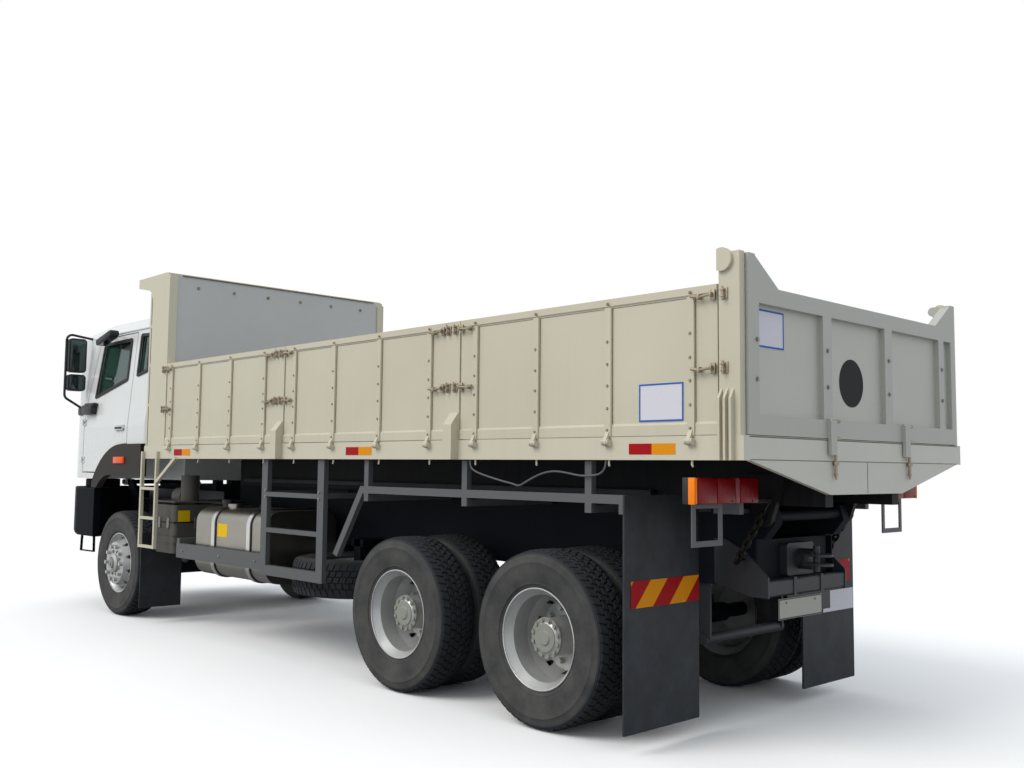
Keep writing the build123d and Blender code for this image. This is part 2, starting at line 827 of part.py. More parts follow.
tow_rear_x = tail_x + 385.0
tow_plate = 16.0
tow_plate_y = rail_outer_y + tow_plate
stay_tube_x = tail_x + 850.0
stay_tube_z = 515.0
plate_low_z = 693.0
with BuildPart() as tow_frame:
    # Side plates bolted outside the chassis rails, and the bar between them
    for side in SIDES.values():
        with BuildSketch(across(side * rail_outer_y)):
            with BuildLine():
                Polyline(
                    (frame_rear_x + 280, 1120),
                    (frame_rear_x + 200, 1120),
                    (frame_rear_x + 60, 1050),
                    (tow_rear_x, 916),
                    (tow_rear_x, 800),
                    (tow_rear_x + 120, 800),
                    (frame_rear_x + 280, 860),
                    close=True,
                )
            make_face()
        extrude(amount=-side * tow_plate)
    with BuildSketch(across(-rail_outer_y)):
        with Locations((tow_rear_x + 40, 850)):
            RectangleRounded(70, 95, 15)
    extrude(amount=-2 * rail_outer_y)
    # Round stay across the truck ahead of them, on drop plates from the rails
    with BuildSketch(across(-rail_outer_y)):
        with Locations((stay_tube_x, stay_tube_z)):
            Circle(32)
    extrude(amount=-2 * rail_outer_y)
    for side in SIDES.values():
        with BuildSketch(across(side * rail_y)):
            with Locations((stay_tube_x, (stay_tube_z + rail_bottom_z) / 2)):
                Rectangle(80, rail_bottom_z - stay_tube_z)
        extrude(amount=-side * tow_plate)
    # Number plate hung from the bar
    with BuildSketch(along(tow_rear_x)):
        with Locations((0, plate_low_z + 55)):
            Rectangle(480, 110)
        for y in (-150, 150):
            with Locations((y, 850)):
                Rectangle(30, 110)
    extrude(amount=6)
    # Towing jaw in the middle of the end crossmember
    with BuildSketch(along(tow_rear_x + 55)):
        with Locations((0, 1000)):
            RectangleRounded(300, 190, 20)
    extrude(amount=end_member_x - tow_rear_x - 55)
    with BuildSketch(along(tow_rear_x - 45)):
        with Locations((0, 1000)):
            Circle(62)
    extrude(amount=110)
    with BuildSketch(Plane.XY.offset(965)):
        with Locations((tow_rear_x - 45, 0)):
            SlotOverall(210, 130)
    extrude(amount=70)
    with BuildSketch(Plane.XY.offset(980)):
        with Locations((tow_rear_x - 100, 0)):
            Rectangle(180, 150)
    extrude(amount=40, mode=Mode.SUBTRACT)
    with BuildSketch(Plane.XY.offset(930)):
        with Locations((tow_rear_x - 50, 0)):
            Circle(20)
    extrude(amount=150)
finish(tow_frame, "tow_frame")

lamp_rear_x = tail_x + 300.0
lamp_depth = 70.0
lamp_y = 958.0
lamp_length = 575.0
lamp_z = 1414.0
lamp_height = 132.0
lamp_back_x = lamp_rear_x + lamp_depth
lamp_arm_y = 690.0
with BuildPart() as tail_lamps:
    for side in SIDES.values():
        with BuildSketch(along(lamp_rear_x)):
            with Locations((side * lamp_y, lamp_z)):
                Rectangle(lamp_length, lamp_height)
        extrude(amount=lamp_depth)
        chamfer(faces().sort_by(Axis.X)[0].edges(), length=6)
    for side in SIDES.values():
        # Back plate, its open frame below, and the arm off the subframe
        with BuildSketch(along(lamp_back_x)):
            with Locations((side * lamp_y, lamp_z)):
                Rectangle(lamp_length - 20, lamp_height)
            with Locations((side * 1035, 1235)):
                Rectangle(270, 230)
                Rectangle(206, 170, mode=Mode.SUBTRACT)
        extrude(amount=8)
        with BuildSketch(along(lamp_back_x + 8)):
            with Locations((side * (lamp_arm_y + 20), 1350)):
                Rectangle(40, 140)
        extrude(amount=tail_x + 550 - lamp_back_x - 8)
        with BuildSketch(along(tail_x + 510)):
            with Locations((side * (rail_outer_y + lamp_arm_y) / 2, 1288)):
                Rectangle(lamp_arm_y - rail_outer_y, 24)
        extrude(amount=40)
finish(tail_lamps, "tail_lamps")

link_bar = 14.0
link_length = 66.0
link_width = 44.0
link_pitch = link_length - 2 * link_bar - 0.1
link_count = 9
chain_y = 500.0
chain_low = (tail_x + 545.0, 1010.0)
chain_top = (tail_x + 330.0, 1352.0)
chain_hook_radius = 6.0
with BuildPart() as chains:
    for side in SIDES.values():
        low = Vector(chain_low[0], side * chain_y, chain_low[1])
        top = Vector(chain_top[0], side * chain_y, chain_top[1])
        run = (top - low).normalized()
        for n in range(link_count):
            face_dir = Vector(0, 1, 0) if n % 2 else run.cross(Vector(0, 1, 0))
            with BuildSketch(Plane(origin=low + run * (n * link_pitch), x_dir=run, z_dir=face_dir)):
                SlotOverall(link_length, link_width)
                SlotOverall(link_length - 2 * link_bar, link_width - 2 * link_bar, mode=Mode.SUBTRACT)
            extrude(amount=link_bar / 2, both=True)
        # Pin on the tow plate, and the thin hook and bar that hold the upper end
        with BuildSketch(across(side * tow_plate_y)):
            with Locations(chain_low):
                Circle(link_bar / 2 - 0.5)
        extrude(amount=-side * (chain_y + link_width / 2 - tow_plate_y))
        hook_start = low + run * ((link_count - 1) * link_pitch + link_length / 2 - link_bar)
        with BuildSketch(Plane(origin=hook_start, z_dir=run)):
            Circle(chain_hook_radius)
        extrude(amount=(top - hook_start).length + chain_hook_radius)
        with BuildSketch(across(side * (chain_y - 12))):
            with Locations(chain_top):
                Rectangle(8, 22)
        extrude(amount=-side * (lamp_y - lamp_length / 2 - chain_y + 12))
finish(chains, "chains")

# ================================================================ cab
def cab_side(inset):
    """Side outline of the cab down to its floor."""
    return [
        (cab_rear_x + inset, cab_floor_z + inset),
        (cab_rear_x + inset, 2900 - inset * 0.6),
        (cab_rear_x + 130 + inset * 0.4, 3020 - inset),
        (cab_rear_x + 420, cab_roof_z - inset),
        (cab_rear_x + 1330, cab_roof_z - 35 - inset),
        (cab_rear_x + 1760 - inset * 0.4, 2940 - inset),
        (cab_rear_x + 1850 - inset, 2850 - inset * 0.4),
        (cab_front_x - 120 - inset, 2140),
        (cab_front_x - 25 - inset, 1900),
        (cab_front_x - inset, 1690),
        (cab_front_x - inset, cab_floor_z + inset),
    ]


def cab_end(inset):
    """Front outline of the cab: upright sides that lean in above the waist."""
    half = cab_half_width - inset
    shoulder = half - cab_lean
    return [
        (-half, cab_floor_z + inset),
        (-half, cab_waist_z),
        (-shoulder, 2880),
        (-shoulder + 130, cab_roof_z - 40 - inset),
        (-500, cab_roof_z + 40 - inset),
        (500, cab_roof_z + 40 - inset),
        (shoulder - 130, cab_roof_z - 40 - inset),
        (shoulder, 2880),
        (half, cab_waist_z),
        (half, cab_floor_z + inset),
    ]


cab_lean = 82.0
cab_waist_z = 1900.0
cab_corner = 120.0
cab_rear_corner = 60.0


def cab_solid(inset):
    """The cab's bulk: its side, end and plan outlines met together."""
    with BuildPart() as bulk:
        with BuildSketch(Plane.XZ):
            with BuildLine():
                Polyline(*cab_side(inset), close=True)
            make_face()
        extrude(amount=cab_half_width + 50, both=True)
        with BuildSketch(along(cab_rear_x - 100)):
            with BuildLine():
                Polyline(*cab_end(inset), close=True)
            make_face()
        extrude(amount=cab_front_x - cab_rear_x + 200, mode=Mode.INTERSECT)
        with BuildSketch(Plane.XY.offset(cab_floor_z - 100)):
            with BuildLine():
                Polyline(*nose_plan(cab_rear_x, cab_front_x, cab_half_width), close=True)
            make_face()
            if inset:
                offset(amount=-inset, kind=Kind.INTERSECTION)
            fillet(vertices().group_by(Axis.X)[-1], radius=cab_corner - inset)
            fillet(vertices().group_by(Axis.X)[1], radius=nose_blend - inset)
            fillet(vertices().group_by(Axis.X)[0], radius=cab_rear_corner - inset)
        extrude(amount=cab_roof_z - cab_floor_z + 300, mode=Mode.INTERSECT)
    return bulk.part


arch_flat_x = tail_x + 7371.0
arch_front_x = tail_x + 8060.0
arch_back_x = cab_rear_x - 250
arch_depth = 420.0  # how far the wheel box reaches in from the side
opening_top_z = 1400.0
opening_flat_x = tail_x + 7560.0
opening_front_x = tail_x + 8012.0
fender_end_z = 1271.0


def arch_face(plane, grow):
    """What is cut from the cab's painted side: flat over the wheel, then down in front of it."""
    with BuildSketch(plane) as face:
        with BuildLine():
            Polyline(
                (arch_front_x + grow, cab_floor_z - 20),
                (arch_front_x + grow, cab_floor_z - 200),
                (arch_back_x, cab_floor_z - 200),
                (arch_back_x, arch_top_z + grow),
                (arch_flat_x, arch_top_z + grow),
            )
            ThreePointArc(
                (arch_flat_x, arch_top_z + grow),
                (arch_flat_x + 440 + grow * 0.6, arch_top_z - 135 + grow * 0.8),
                (arch_front_x + grow, cab_floor_z - 20),
            )
        make_face()
    return face.sketch


def opening_face(plane):
    """The wheel opening, under the fender."""
    with BuildSketch(plane) as face:
        with BuildLine():
            Polyline(
                (opening_front_x, fender_end_z - 100),
                (arch_back_x - 10, fender_end_z - 100),
                (arch_back_x - 10, opening_top_z),
                (opening_flat_x, opening_top_z),
            )
            ThreePointArc(
                (opening_flat_x, opening_top_z),
                (opening_flat_x + 320, opening_top_z - 75),
                (opening_front_x, fender_end_z - 100),
            )
        make_face()
    return face.sketch


def arch_solid(side, inner_y, outer_y, grow):
    with BuildPart() as solid:
        extrude(arch_face(across(side * inner_y), grow), amount=-side * (outer_y - inner_y))
    return solid.part


door_rear_x = tail_x + 7300.0
door_front_low_x = tail_x + 8420.0
door_front_high_x = tail_x + 8215.0
door_top_z = 2862.0
door_sill_z = cab_floor_z + 60
door_gap = 11.0
door_depth = 260.0  # deep enough to reach through the leaning side


def door_prism(side, shrink):
    with BuildPart() as solid:
        with BuildSketch(across(side * (cab_half_width - door_depth))):
            with BuildLine():
                Polyline(
                    (door_rear_x + shrink, door_sill_z + shrink),
                    (door_rear_x + shrink, door_top_z - shrink),
                    (door_front_high_x - shrink, door_top_z - shrink),
                    (door_front_low_x - shrink, 2130),
                    (door_front_low_x - shrink, door_sill_z + shrink),
                    close=True,
                )
            make_face()
        extrude(amount=-side * (door_depth + 60))
    return solid.part


door_window = [(7410, 2365), (7410, 2808), (8110, 2800), (8205, 2205)]  # X from the tail, Z
quarter_window = [(6960, 2430), (6985, 2825), (7215, 2835), (7215, 2390)]
windscreen = [(-1060, 2190), (-960, 2830), (960, 2830), (1060, 2190)]  # Y, Z
rear_window = [(-480, 2330), (-480, 2730), (480, 2730), (480, 2330)]
screen_rear_x = cab_rear_x + 1500


def side_window_prism(side, corners):
    with BuildPart() as solid:
        with BuildSketch(across(side * (cab_half_width - door_depth))):
            with BuildLine():
                Polyline(*[(tail_x + x, z) for x, z in corners], close=True)
            make_face()
            fillet(vertices(), radius=35)
        extrude(amount=-side * (door_depth + 60))
    return solid.part


def end_window_prism(start_x, end_x, corners):
    with BuildPart() as solid:
        with BuildSketch(along(start_x)):
            with BuildLine():
                Polyline(*corners, close=True)
            make_face()
            fillet(vertices(), radius=50)
        extrude(amount=end_x - start_x)
    return solid.part


hinge_axis_x = tail_x + 8414.5
hinge_axis_y = cab_half_width + 12.0
knuckle_radius = 11.0
knuckle_pin_radius = 5.0
knuckle_height = 22.0
door_hinge_z = (1560.0, 1960.0)
leaf_run = 46.0
leaf_inner_y = cab_half_width - 12.0
leaf_outer_y = cab_half_width + 7.0


def hinge_knuckle(side, middle_z, direction):
    """A knuckle round the door's hinge line and the leaf that it is bent from."""
    with BuildPart() as knuckle:
        with BuildSketch(Plane.XY.offset(middle_z - knuckle_height / 2)):
            with Locations((hinge_axis_x, side * hinge_axis_y)):
                Circle(knuckle_radius)
            leaf_x = hinge_axis_x + direction * leaf_run / 2
            with Locations((leaf_x, side * (leaf_inner_y + leaf_outer_y) / 2)):
                Rectangle(leaf_run, leaf_outer_y - leaf_inner_y)
            with Locations((hinge_axis_x, side * hinge_axis_y)):
                Circle(knuckle_pin_radius + running, mode=Mode.SUBTRACT)
        extrude(amount=knuckle_height)
    return knuckle.part


glass_depth = 18.0
glass_thickness = 6.0
cab_bulk = cab_solid(0)
cab_inside = cab_solid(cab_wall)
glass_outer = cab_solid(glass_depth)
glass_inner = cab_solid(glass_depth + glass_thickness)
windscreen_cut = end_window_prism(screen_rear_x, cab_front_x + 50, windscreen)
rear_window_cut = end_window_prism(cab_rear_x - 50, cab_rear_x + 200, rear_window)
floor_top_z = cab_floor_z + cab_wall

with BuildPart() as cab_shell:
    add(cab_bulk)
    add(cab_inside, mode=Mode.SUBTRACT)
    for side in SIDES.values():
        add(door_prism(side, 0), mode=Mode.SUBTRACT)
        add(side_window_prism(side, quarter_window), mode=Mode.SUBTRACT)
    for side in SIDES.values():
        arch_inner_y = cab_half_width - arch_depth - cab_wall
        add(arch_solid(side, arch_inner_y, cab_half_width - cab_wall - gap, cab_wall))
    add(cab_bulk, mode=Mode.INTERSECT)
    for side in SIDES.values():
        add(arch_solid(side, cab_half_width - arch_depth, cab_half_width + 50, 0), mode=Mode.SUBTRACT)
    add(windscreen_cut, mode=Mode.SUBTRACT)
    add(rear_window_cut, mode=Mode.SUBTRACT)
    # Lugs under the floor's front edge, round the tube that the cab tilts on
    for side in SIDES.values():
        with BuildSketch(across(side * (cab_lug_y - 15))):
            with BuildLine():
                Polyline(
                    (cab_pivot_x - 60, cab_floor_z + 5),
                    (cab_pivot_x + 36, cab_floor_z + 5),
                    (cab_pivot_x + 36, cab_pivot_z),
                    (cab_pivot_x - 36, cab_pivot_z),
                    close=True,
                )
            make_face()
            with Locations((cab_pivot_x, cab_pivot_z)):
                Circle(40)
                Circle(cab_pivot_radius + running, mode=Mode.SUBTRACT)
        extrude(amount=-side * 30)
    # The cab's half of each door hinge
    for side in SIDES.values():
        for z in door_hinge_z:
            add(hinge_knuckle(side, z, 1))
            with BuildSketch(Plane.XY.offset(z - 1.5 * knuckle_height)):
                with Locations((hinge_axis_x, side * hinge_axis_y)):
                    Circle(knuckle_pin_radius)
            extrude(amount=3 * knuckle_height)
finish(cab_shell, "cab_shell")

with BuildPart() as panes:
    add(windscreen_cut)
    add(rear_window_cut)
    for side in SIDES.values():
        add(side_window_prism(side, quarter_window))

with BuildPart() as cab_glass:
    add(glass_outer)
    add(glass_inner, mode=Mode.SUBTRACT)
    add(panes.part, mode=Mode.INTERSECT)
finish(cab_glass, "cab_glass")

fender_outer_y = 1242.0
with BuildPart() as cab_fenders:
    for side in SIDES.values():
        # Outer panel over the wheel opening, and the liner behind it
        with BuildSketch(across(side * (cab_half_width - 30))):
            add(arch_face(across(side * (cab_half_width - 30)), -1))
            with Locations((arch_back_x / 2 + cab_rear_x / 2 + 10, 1500)):
                Rectangle(cab_rear_x - arch_back_x + 20, 800, mode=Mode.SUBTRACT)
            with BuildLine():
                Polyline(
                    (arch_front_x - 60, cab_floor_z - 15),
                    (arch_front_x - 1, cab_floor_z - 15),
                    (arch_front_x + 15, fender_end_z),
                    (arch_front_x - 60, fender_end_z),
                    close=True,
                )
            make_face()
        extrude(amount=-side * (fender_outer_y - cab_half_width + 30))
    for side in SIDES.values():
        opening = opening_face(across(side * (cab_half_width - arch_depth + 5)))
        extrude(opening, amount=-side * (arch_depth + 100), mode=Mode.SUBTRACT)
    with BuildSketch(Plane.XY.offset(fender_end_z - 300)):
        with Locations((tail_x + 7500, 0)):
            Rectangle(2600, 3000)
    extrude(amount=300, mode=Mode.SUBTRACT)
finish(cab_fenders, "cab_fenders")

for side_name, side in SIDES.items():
    window_cut = side_window_prism(side, door_window)
    with BuildPart() as door:
        add(cab_bulk)
        add(cab_inside, mode=Mode.SUBTRACT)
        add(door_prism(side, door_gap), mode=Mode.INTERSECT)
        add(arch_solid(side, cab_half_width - 300, cab_half_width + 100, gap), mode=Mode.SUBTRACT)
        add(window_cut, mode=Mode.SUBTRACT)
        with BuildSketch(across(side * cab_half_width)):
            with Locations((tail_x + 7480, 1885)):
                RectangleRounded(210, 44, 15)
        extrude(amount=-side * 24)
        for z in door_hinge_z:
            for step in (-1, 1):
                add(hinge_knuckle(side, z + step * (knuckle_height + 1), -1))
    finish(door, "door_" + side_name)
    with BuildPart() as door_glass:
        add(glass_outer)
        add(glass_inner, mode=Mode.SUBTRACT)
        add(window_cut, mode=Mode.INTERSECT)
    finish(door_glass, "door_glass_" + side_name)

with BuildPart() as grille:
    with BuildSketch(along(cab_front_x)):
        with Locations((0, 1560)):
            Rectangle(1500, 260)
        for row in range(4):
            with Locations((0, 1470 + row * 60)):
                Rectangle(1440, 26, mode=Mode.SUBTRACT)
    extrude(amount=14)
finish(grille, "grille")

seat_x = tail_x + 7520.0
seat_y = 470.0
with BuildPart() as seats:
    for side in SIDES.values():
        with BuildSketch(across(side * seat_y + 240)):
            with BuildLine():
                Polyline(
                    (seat_x - 260, floor_top_z),
                    (seat_x - 260, 1860),
                    (seat_x - 330, 2450),
                    (seat_x - 290, 2560),
                    (seat_x - 190, 2550),
                    (seat_x - 130, 1960),
                    (seat_x + 280, 1980),
                    (seat_x + 300, 1880),
                    (seat_x + 180, 1820),
                    (seat_x + 150, floor_top_z),
                    close=True,
                )
            make_face()
        extrude(amount=480)
finish(seats, "seats")

wheel_hub_x = tail_x + 8190.0
driver_y = -seat_y
with BuildPart() as dashboard:
    with BuildSketch(across(1100)):
        with BuildLine():
            Polyline(
                (tail_x + 8990, 2130),
                (tail_x + 8560, 2110),
                (tail_x + 8490, 2010),
                (tail_x + 8560, 1780),
                (tail_x + 8700, floor_top_z),
                (tail_x + 8990, floor_top_z),
                close=True,
            )
        make_face()
    extrude(amount=2200)
    add(cab_inside, mode=Mode.INTERSECT)
    column = Plane(origin=(wheel_hub_x, driver_y, 2080), x_dir=(0, 1, 0), z_dir=(0.8, 0, -0.6))
    with BuildSketch(column):
        Circle(26)
    extrude(amount=420)
    with BuildSketch(column):
        Circle(225)
        Circle(200, mode=Mode.SUBTRACT)
        Rectangle(410, 40)
        Circle(60)
    extrude(amount=24)
finish(dashboard, "dashboard")

mirror_x = tail_x + 8490.0
mirror_y = 1300.0
mirror_depth = 60.0
mirror_heads = ((2685.0, 190.0, 370.0), (2390.0, 190.0, 180.0))  # middle Z, width, height
arm_radius = 13.0
arm_y = 1400.0
with BuildPart() as mirrors:
    for side in SIDES.values():
        for centre_z, width, height in mirror_heads:
            with BuildSketch(along(mirror_x - mirror_depth)):
                with Locations((side * mirror_y, centre_z)):
                    RectangleRounded(width, height, 40)
            extrude(amount=mirror_depth + arm_radius)
        # Arm: out from the roof, down past both heads and back in to its foot on the cab's corner
        with BuildLine() as arm:
            FilletPolyline(
                (mirror_x + 10, side * 1095, 2880),
                (mirror_x + 10, side * arm_y, 2920),
                (mirror_x + 10, side * arm_y, 2230),
                (mirror_x + 100, side * 1150, 2110),
                radius=60,
            )
        with BuildSketch(Plane(origin=arm.line @ 0, z_dir=arm.line % 0)):
            Circle(arm_radius)
        sweep(path=arm.line)
    add(cab_bulk, mode=Mode.SUBTRACT)
finish(mirrors, "mirrors")

# ================================================================ load body
rear_post_x = tail_x + post_length
section_starts = [rear_post_x + n * (panel_length + pillar_length) for n in range(3)]
section_names = ("rear", "middle", "front")
crossmember_step = 560.0
cross_height = 100.0
cross_width = 60.0

with BuildPart() as body_floor:
    with BuildSketch(Plane.XY.offset(floor_z - floor_plate)):
        with Locations(((tail_x + head_front_x) / 2, 0)):
            Rectangle(head_front_x - tail_x, 2 * (half_width - side_thickness))
    extrude(amount=floor_plate)
    # Wear plate, clear of the sides and both ends
    with BuildSketch(Plane.XY.offset(floor_z)):
        with Locations(((tail_x + post_length + head_rear_x) / 2, 0)):
            Rectangle(
                head_rear_x - tail_x - post_length - 2 * wear_plate_margin,
                2 * (half_width - side_thickness - wear_plate_margin),
            )
    extrude(amount=wear_plate)
    # Crossmembers under the plate
    cross_count = int((body_front_x - tail_x - 300) / crossmember_step) + 1
    for n in range(cross_count):
        with BuildSketch(along(tail_x + 40 + n * crossmember_step)):
            with Locations((0, floor_z - floor_plate - cross_height / 2)):
                Rectangle(2 * (half_width - side_thickness), cross_height)
        extrude(amount=cross_width)
    # Runners along the chassis, with lugs round the tipping shaft
    for side in SIDES.values():
        with BuildSketch(along(tail_x + 30)):
            with Locations((side * runner_y, (runner_bottom_z + floor_z - floor_plate) / 2)):
                Rectangle(rail_width, floor_z - floor_plate - runner_bottom_z)
        extrude(amount=subframe_front_x - tail_x - 30)
        with BuildSketch(across(side * (runner_y + 62) + 18)):
            with BuildLine():
                Polyline(
                    (tip_x - 60, tip_z),
                    (tip_x - 150, 1500),
                    (tip_x + 150, 1500),
                    (tip_x + 60, tip_z),
                    close=True,
                )
            make_face()
            with Locations((tip_x, tip_z)):
                Circle(60)
                Circle(tip_pin_radius + running, mode=Mode.SUBTRACT)
        extrude(amount=36)
        # Cheek of the bracket that holds the tipping cylinder's eye
        with BuildSketch(across(side * (rod_eye_half + gap))):
            with BuildLine():
                Polyline(
                    (ram_eye_x - 110, floor_z - floor_plate - 5),
                    (ram_eye_x - 52, ram_eye_z),
                    (ram_eye_x + 52, ram_eye_z),
                    (ram_eye_x + 110, floor_z - floor_plate - 5),
                    close=True,
                )
            make_face()
            with Locations((ram_eye_x, ram_eye_z)):
                Circle(56)
        extrude(amount=-side * ram_lug)
        # Head of the eye's pin, on the cheek's outer face
        with BuildSketch(across(side * (rod_eye_half + gap + ram_lug))):
            with Locations((ram_eye_x, ram_eye_z)):
                Circle(ram_pin_radius + 10)
        extrude(amount=-side * 12)
        with BuildSketch(across(side * (runner_y + rail_width / 2 + 2) + 3)):
            with Locations((tip_x, 1430)):
                Rectangle(200, 120)
        extrude(amount=6)
finish(body_floor, "body_floor")

with BuildPart() as body_rails:
    # Channel-shaped side raves under the dropsides
    for side in SIDES.values():
        with BuildSketch(along(tail_x)):
            with Locations((side * (half_width - side_thickness / 2), (rave_bottom_z + floor_z) / 2)):
                Rectangle(side_thickness, floor_z - rave_bottom_z)
        extrude(amount=body_front_x - tail_x)
    # Rear sill, and the apron plate that drops to the runners below it
    with BuildSketch(along(tail_x)):
        with Locations((0, (rave_bottom_z + floor_z - floor_plate) / 2)):
            Rectangle(2 * (half_width - side_thickness), floor_z - floor_plate - rave_bottom_z)
        with BuildLine():
            Polyline(
                (-half_width + side_thickness, rave_bottom_z + 2),
                (-apron_half_base, apron_drop_z),
                (apron_half_base, apron_drop_z),
                (half_width - side_thickness, rave_bottom_z + 2),
                close=True,
            )
        make_face()
    extrude(amount=30)
    with BuildSketch(along(body_front_x - 60)):
        with Locations((0, (rave_bottom_z + floor_z) / 2)):
            Rectangle(2 * (half_width - side_thickness), floor_z - rave_bottom_z)
    extrude(amount=60)
finish(body_rails, "body_rails")

gate_pin_x = tail_x + 115.0
gate_pin_z = 2583.0
gate_pin_radius = 16.0
post_rear_x = tail_x + 18.0
post_front_x = tail_x + 142.0
post_depth = 45.0
post_cover = 8.0  # wall left over the blind bore of the gate's pin
boss_radius = 60.0
boss_proud = 20.0
rib_width = 14.0
rib_proud = 30.0
rib_x = (tail_x + 60.0, tail_x + 95.0, tail_x + 129.0)
pillar_depth = side_thickness + 8.0
socket_proud = 60.0
socket_start = 6.0  # from the pillar's rear edge
socket_length = 82.0

with BuildPart() as body_posts:
    for side in SIDES.values():
        with BuildSketch(Plane.XY.offset(floor_z)):
            with Locations(((post_rear_x + post_front_x) / 2, side * (half_width - post_depth / 2))):
                Rectangle(post_front_x - post_rear_x, post_depth)
        extrude(amount=post_top_z - floor_z)
        # Boss over the tailgate's pin, cut off flush with the post's front
        with BuildSketch(across(side * half_width)):
            with Locations((gate_pin_x, gate_pin_z)):
                Circle(boss_radius)
            with Locations((post_front_x + boss_radius / 2, gate_pin_z)):
                Rectangle(boss_radius, 2 * boss_radius, mode=Mode.SUBTRACT)
        extrude(amount=-side * boss_proud)
        with BuildSketch(across(side * (half_width - post_depth - 1))):
            with Locations((gate_pin_x, gate_pin_z)):
                Circle(gate_pin_radius + running)
        extrude(amount=-side * (post_depth - post_cover + 1), mode=Mode.SUBTRACT)
        # Ribs up the foot of the rear post
        for x in rib_x:
            with BuildSketch(along(x - rib_width / 2)):
                with BuildLine():
                    Polyline(
                        (side * half_width, rave_bottom_z),
                        (side * (half_width + rib_proud), rave_bottom_z),
                        (side * (half_width + rib_proud), 1880),
                        (side * half_width, 1930),
                        close=True,
                    )
                make_face()
            extrude(amount=rib_width)
        # Pillars between the dropsides, each with a slanted socket down its foot
        for start in section_starts[:2]:
            pillar_x = start + panel_length
            with BuildSketch(Plane.XY.offset(floor_z)):
                with Locations((pillar_x + pillar_length / 2, side * (half_width - pillar_depth / 2))):
                    Rectangle(pillar_length, pillar_depth)
            extrude(amount=side_top_z - floor_z)
            with BuildSketch(along(pillar_x + socket_start)):
                with BuildLine():
                    Polyline(
                        (side * half_width, rave_bottom_z),
                        (side * (half_width + socket_proud), rave_bottom_z),
                        (side * (half_width + socket_proud), 1795),
                        (side * half_width, 1873),
                        close=True,
                    )
                make_face()
            extrude(amount=socket_length)
finish(body_posts, "body_posts")

visor_front_x = tail_x + 7046.0
head_plate = 12.0
head_panel_depth = 46.0
with BuildPart() as headboard:
    for side in SIDES.values():
        # Side cheek with the visor's arm, and the upright box behind it
        with BuildSketch(across(side * half_width)):
            with BuildLine():
                Polyline(
                    (head_front_x, floor_z),
                    (head_rear_x, floor_z),
                    (head_rear_x, head_top_z - 55),
                    (head_rear_x + 60, head_top_z),
                    (visor_front_x, head_top_z),
                    (visor_front_x, head_top_z - 89),
                    (head_front_x + 130, head_top_z - 125),
                )
                ThreePointArc(
                    (head_front_x + 130, head_top_z - 125),
                    (head_front_x + 38, head_top_z - 165),
                    (head_front_x, head_top_z - 255),
                )
                Line((head_front_x, head_top_z - 255), (head_front_x, floor_z))
            make_face()
        extrude(amount=side * head_plate)
        with BuildSketch(Plane.XY.offset(floor_z)):
            with Locations((head_rear_x + 35, side * (half_width - 40))):
                Rectangle(70, 80)
        extrude(amount=head_top_z - 60 - floor_z)
    # Bulkhead panel, its top rail and the stiffeners on its front face
    with BuildSketch(along(head_rear_x + 14)):
        with Locations((0, (floor_z + head_top_z - 20) / 2)):
            Rectangle(2 * half_width - 20, head_top_z - 20 - floor_z)
    extrude(amount=head_panel_depth - 14)
    for n in range(5):
        with BuildSketch(along(head_rear_x + head_panel_depth)):
            with Locations(((n - 2) * 480, (floor_z + head_top_z - 20) / 2)):
                Rectangle(60, head_top_z - 20 - floor_z)
        extrude(amount=50)
    # Visor sheet and its front lip
    with BuildSketch(Plane.XY.offset(head_top_z - head_plate)):
        with Locations(((head_rear_x + 60 + visor_front_x) / 2, 0)):
            Rectangle(visor_front_x - head_rear_x - 60, 2 * half_width - 2)
    extrude(amount=head_plate)
    with BuildSketch(along(visor_front_x - head_plate)):
        with Locations((0, head_top_z - 44)):
            Rectangle(2 * half_width - 2, 88)
    extrude(amount=head_plate)
finish(headboard, "headboard")

ladder_tube = 30.0
with BuildPart() as ladder:
    # Lower half hung from the rave, with a stay back to it
    with BuildSketch(across(half_width + ladder_tube)):
        for x in (tail_x + 6463, tail_x + 6775):
            with Locations((x, (730 + 1640) / 2)):
                Rectangle(ladder_tube, 1640 - 730)
        for z in (745, 1012, 1289):
            with Locations((tail_x + 6619, z)):
                Rectangle(312, 26)
        with BuildLine():
            Polyline(
                (tail_x + 6463, 1330),
                (tail_x + 6463, 1365),
                (tail_x + 6090, 1590),
                (tail_x + 6065, 1570),
                close=True,
            )
        make_face()
    extrude(amount=ladder_tube)
    # Upper half: a pole in front of the headboard's cheek, tied back to it
    with BuildSketch(across(half_width - 10)):
        with Locations((tail_x + 6775, (floor_z + 3180) / 2)):
            Rectangle(ladder_tube, 3180 - floor_z)
        for z in (2089, 2475, 2857):
            with Locations((tail_x + 6741, z)):
                Rectangle(38, 26)
    extrude(amount=ladder_tube)
finish(ladder, "ladder")

# Dropsides, hinged along their lower edge
hinge_y = half_width + 22.0
hinge_z = floor_z - 27.0
hinge_pin_radius = 8.0
eye_radius = 17.0
strip_width = 44.0
strip_top_z = side_top_z - 50.0
strip_proud = 9.0
panel_bottom_z = floor_z + 5.0
strip_offsets = (164.0, 726.0, 1292.0, 1836.0)
skin_set = 8.0

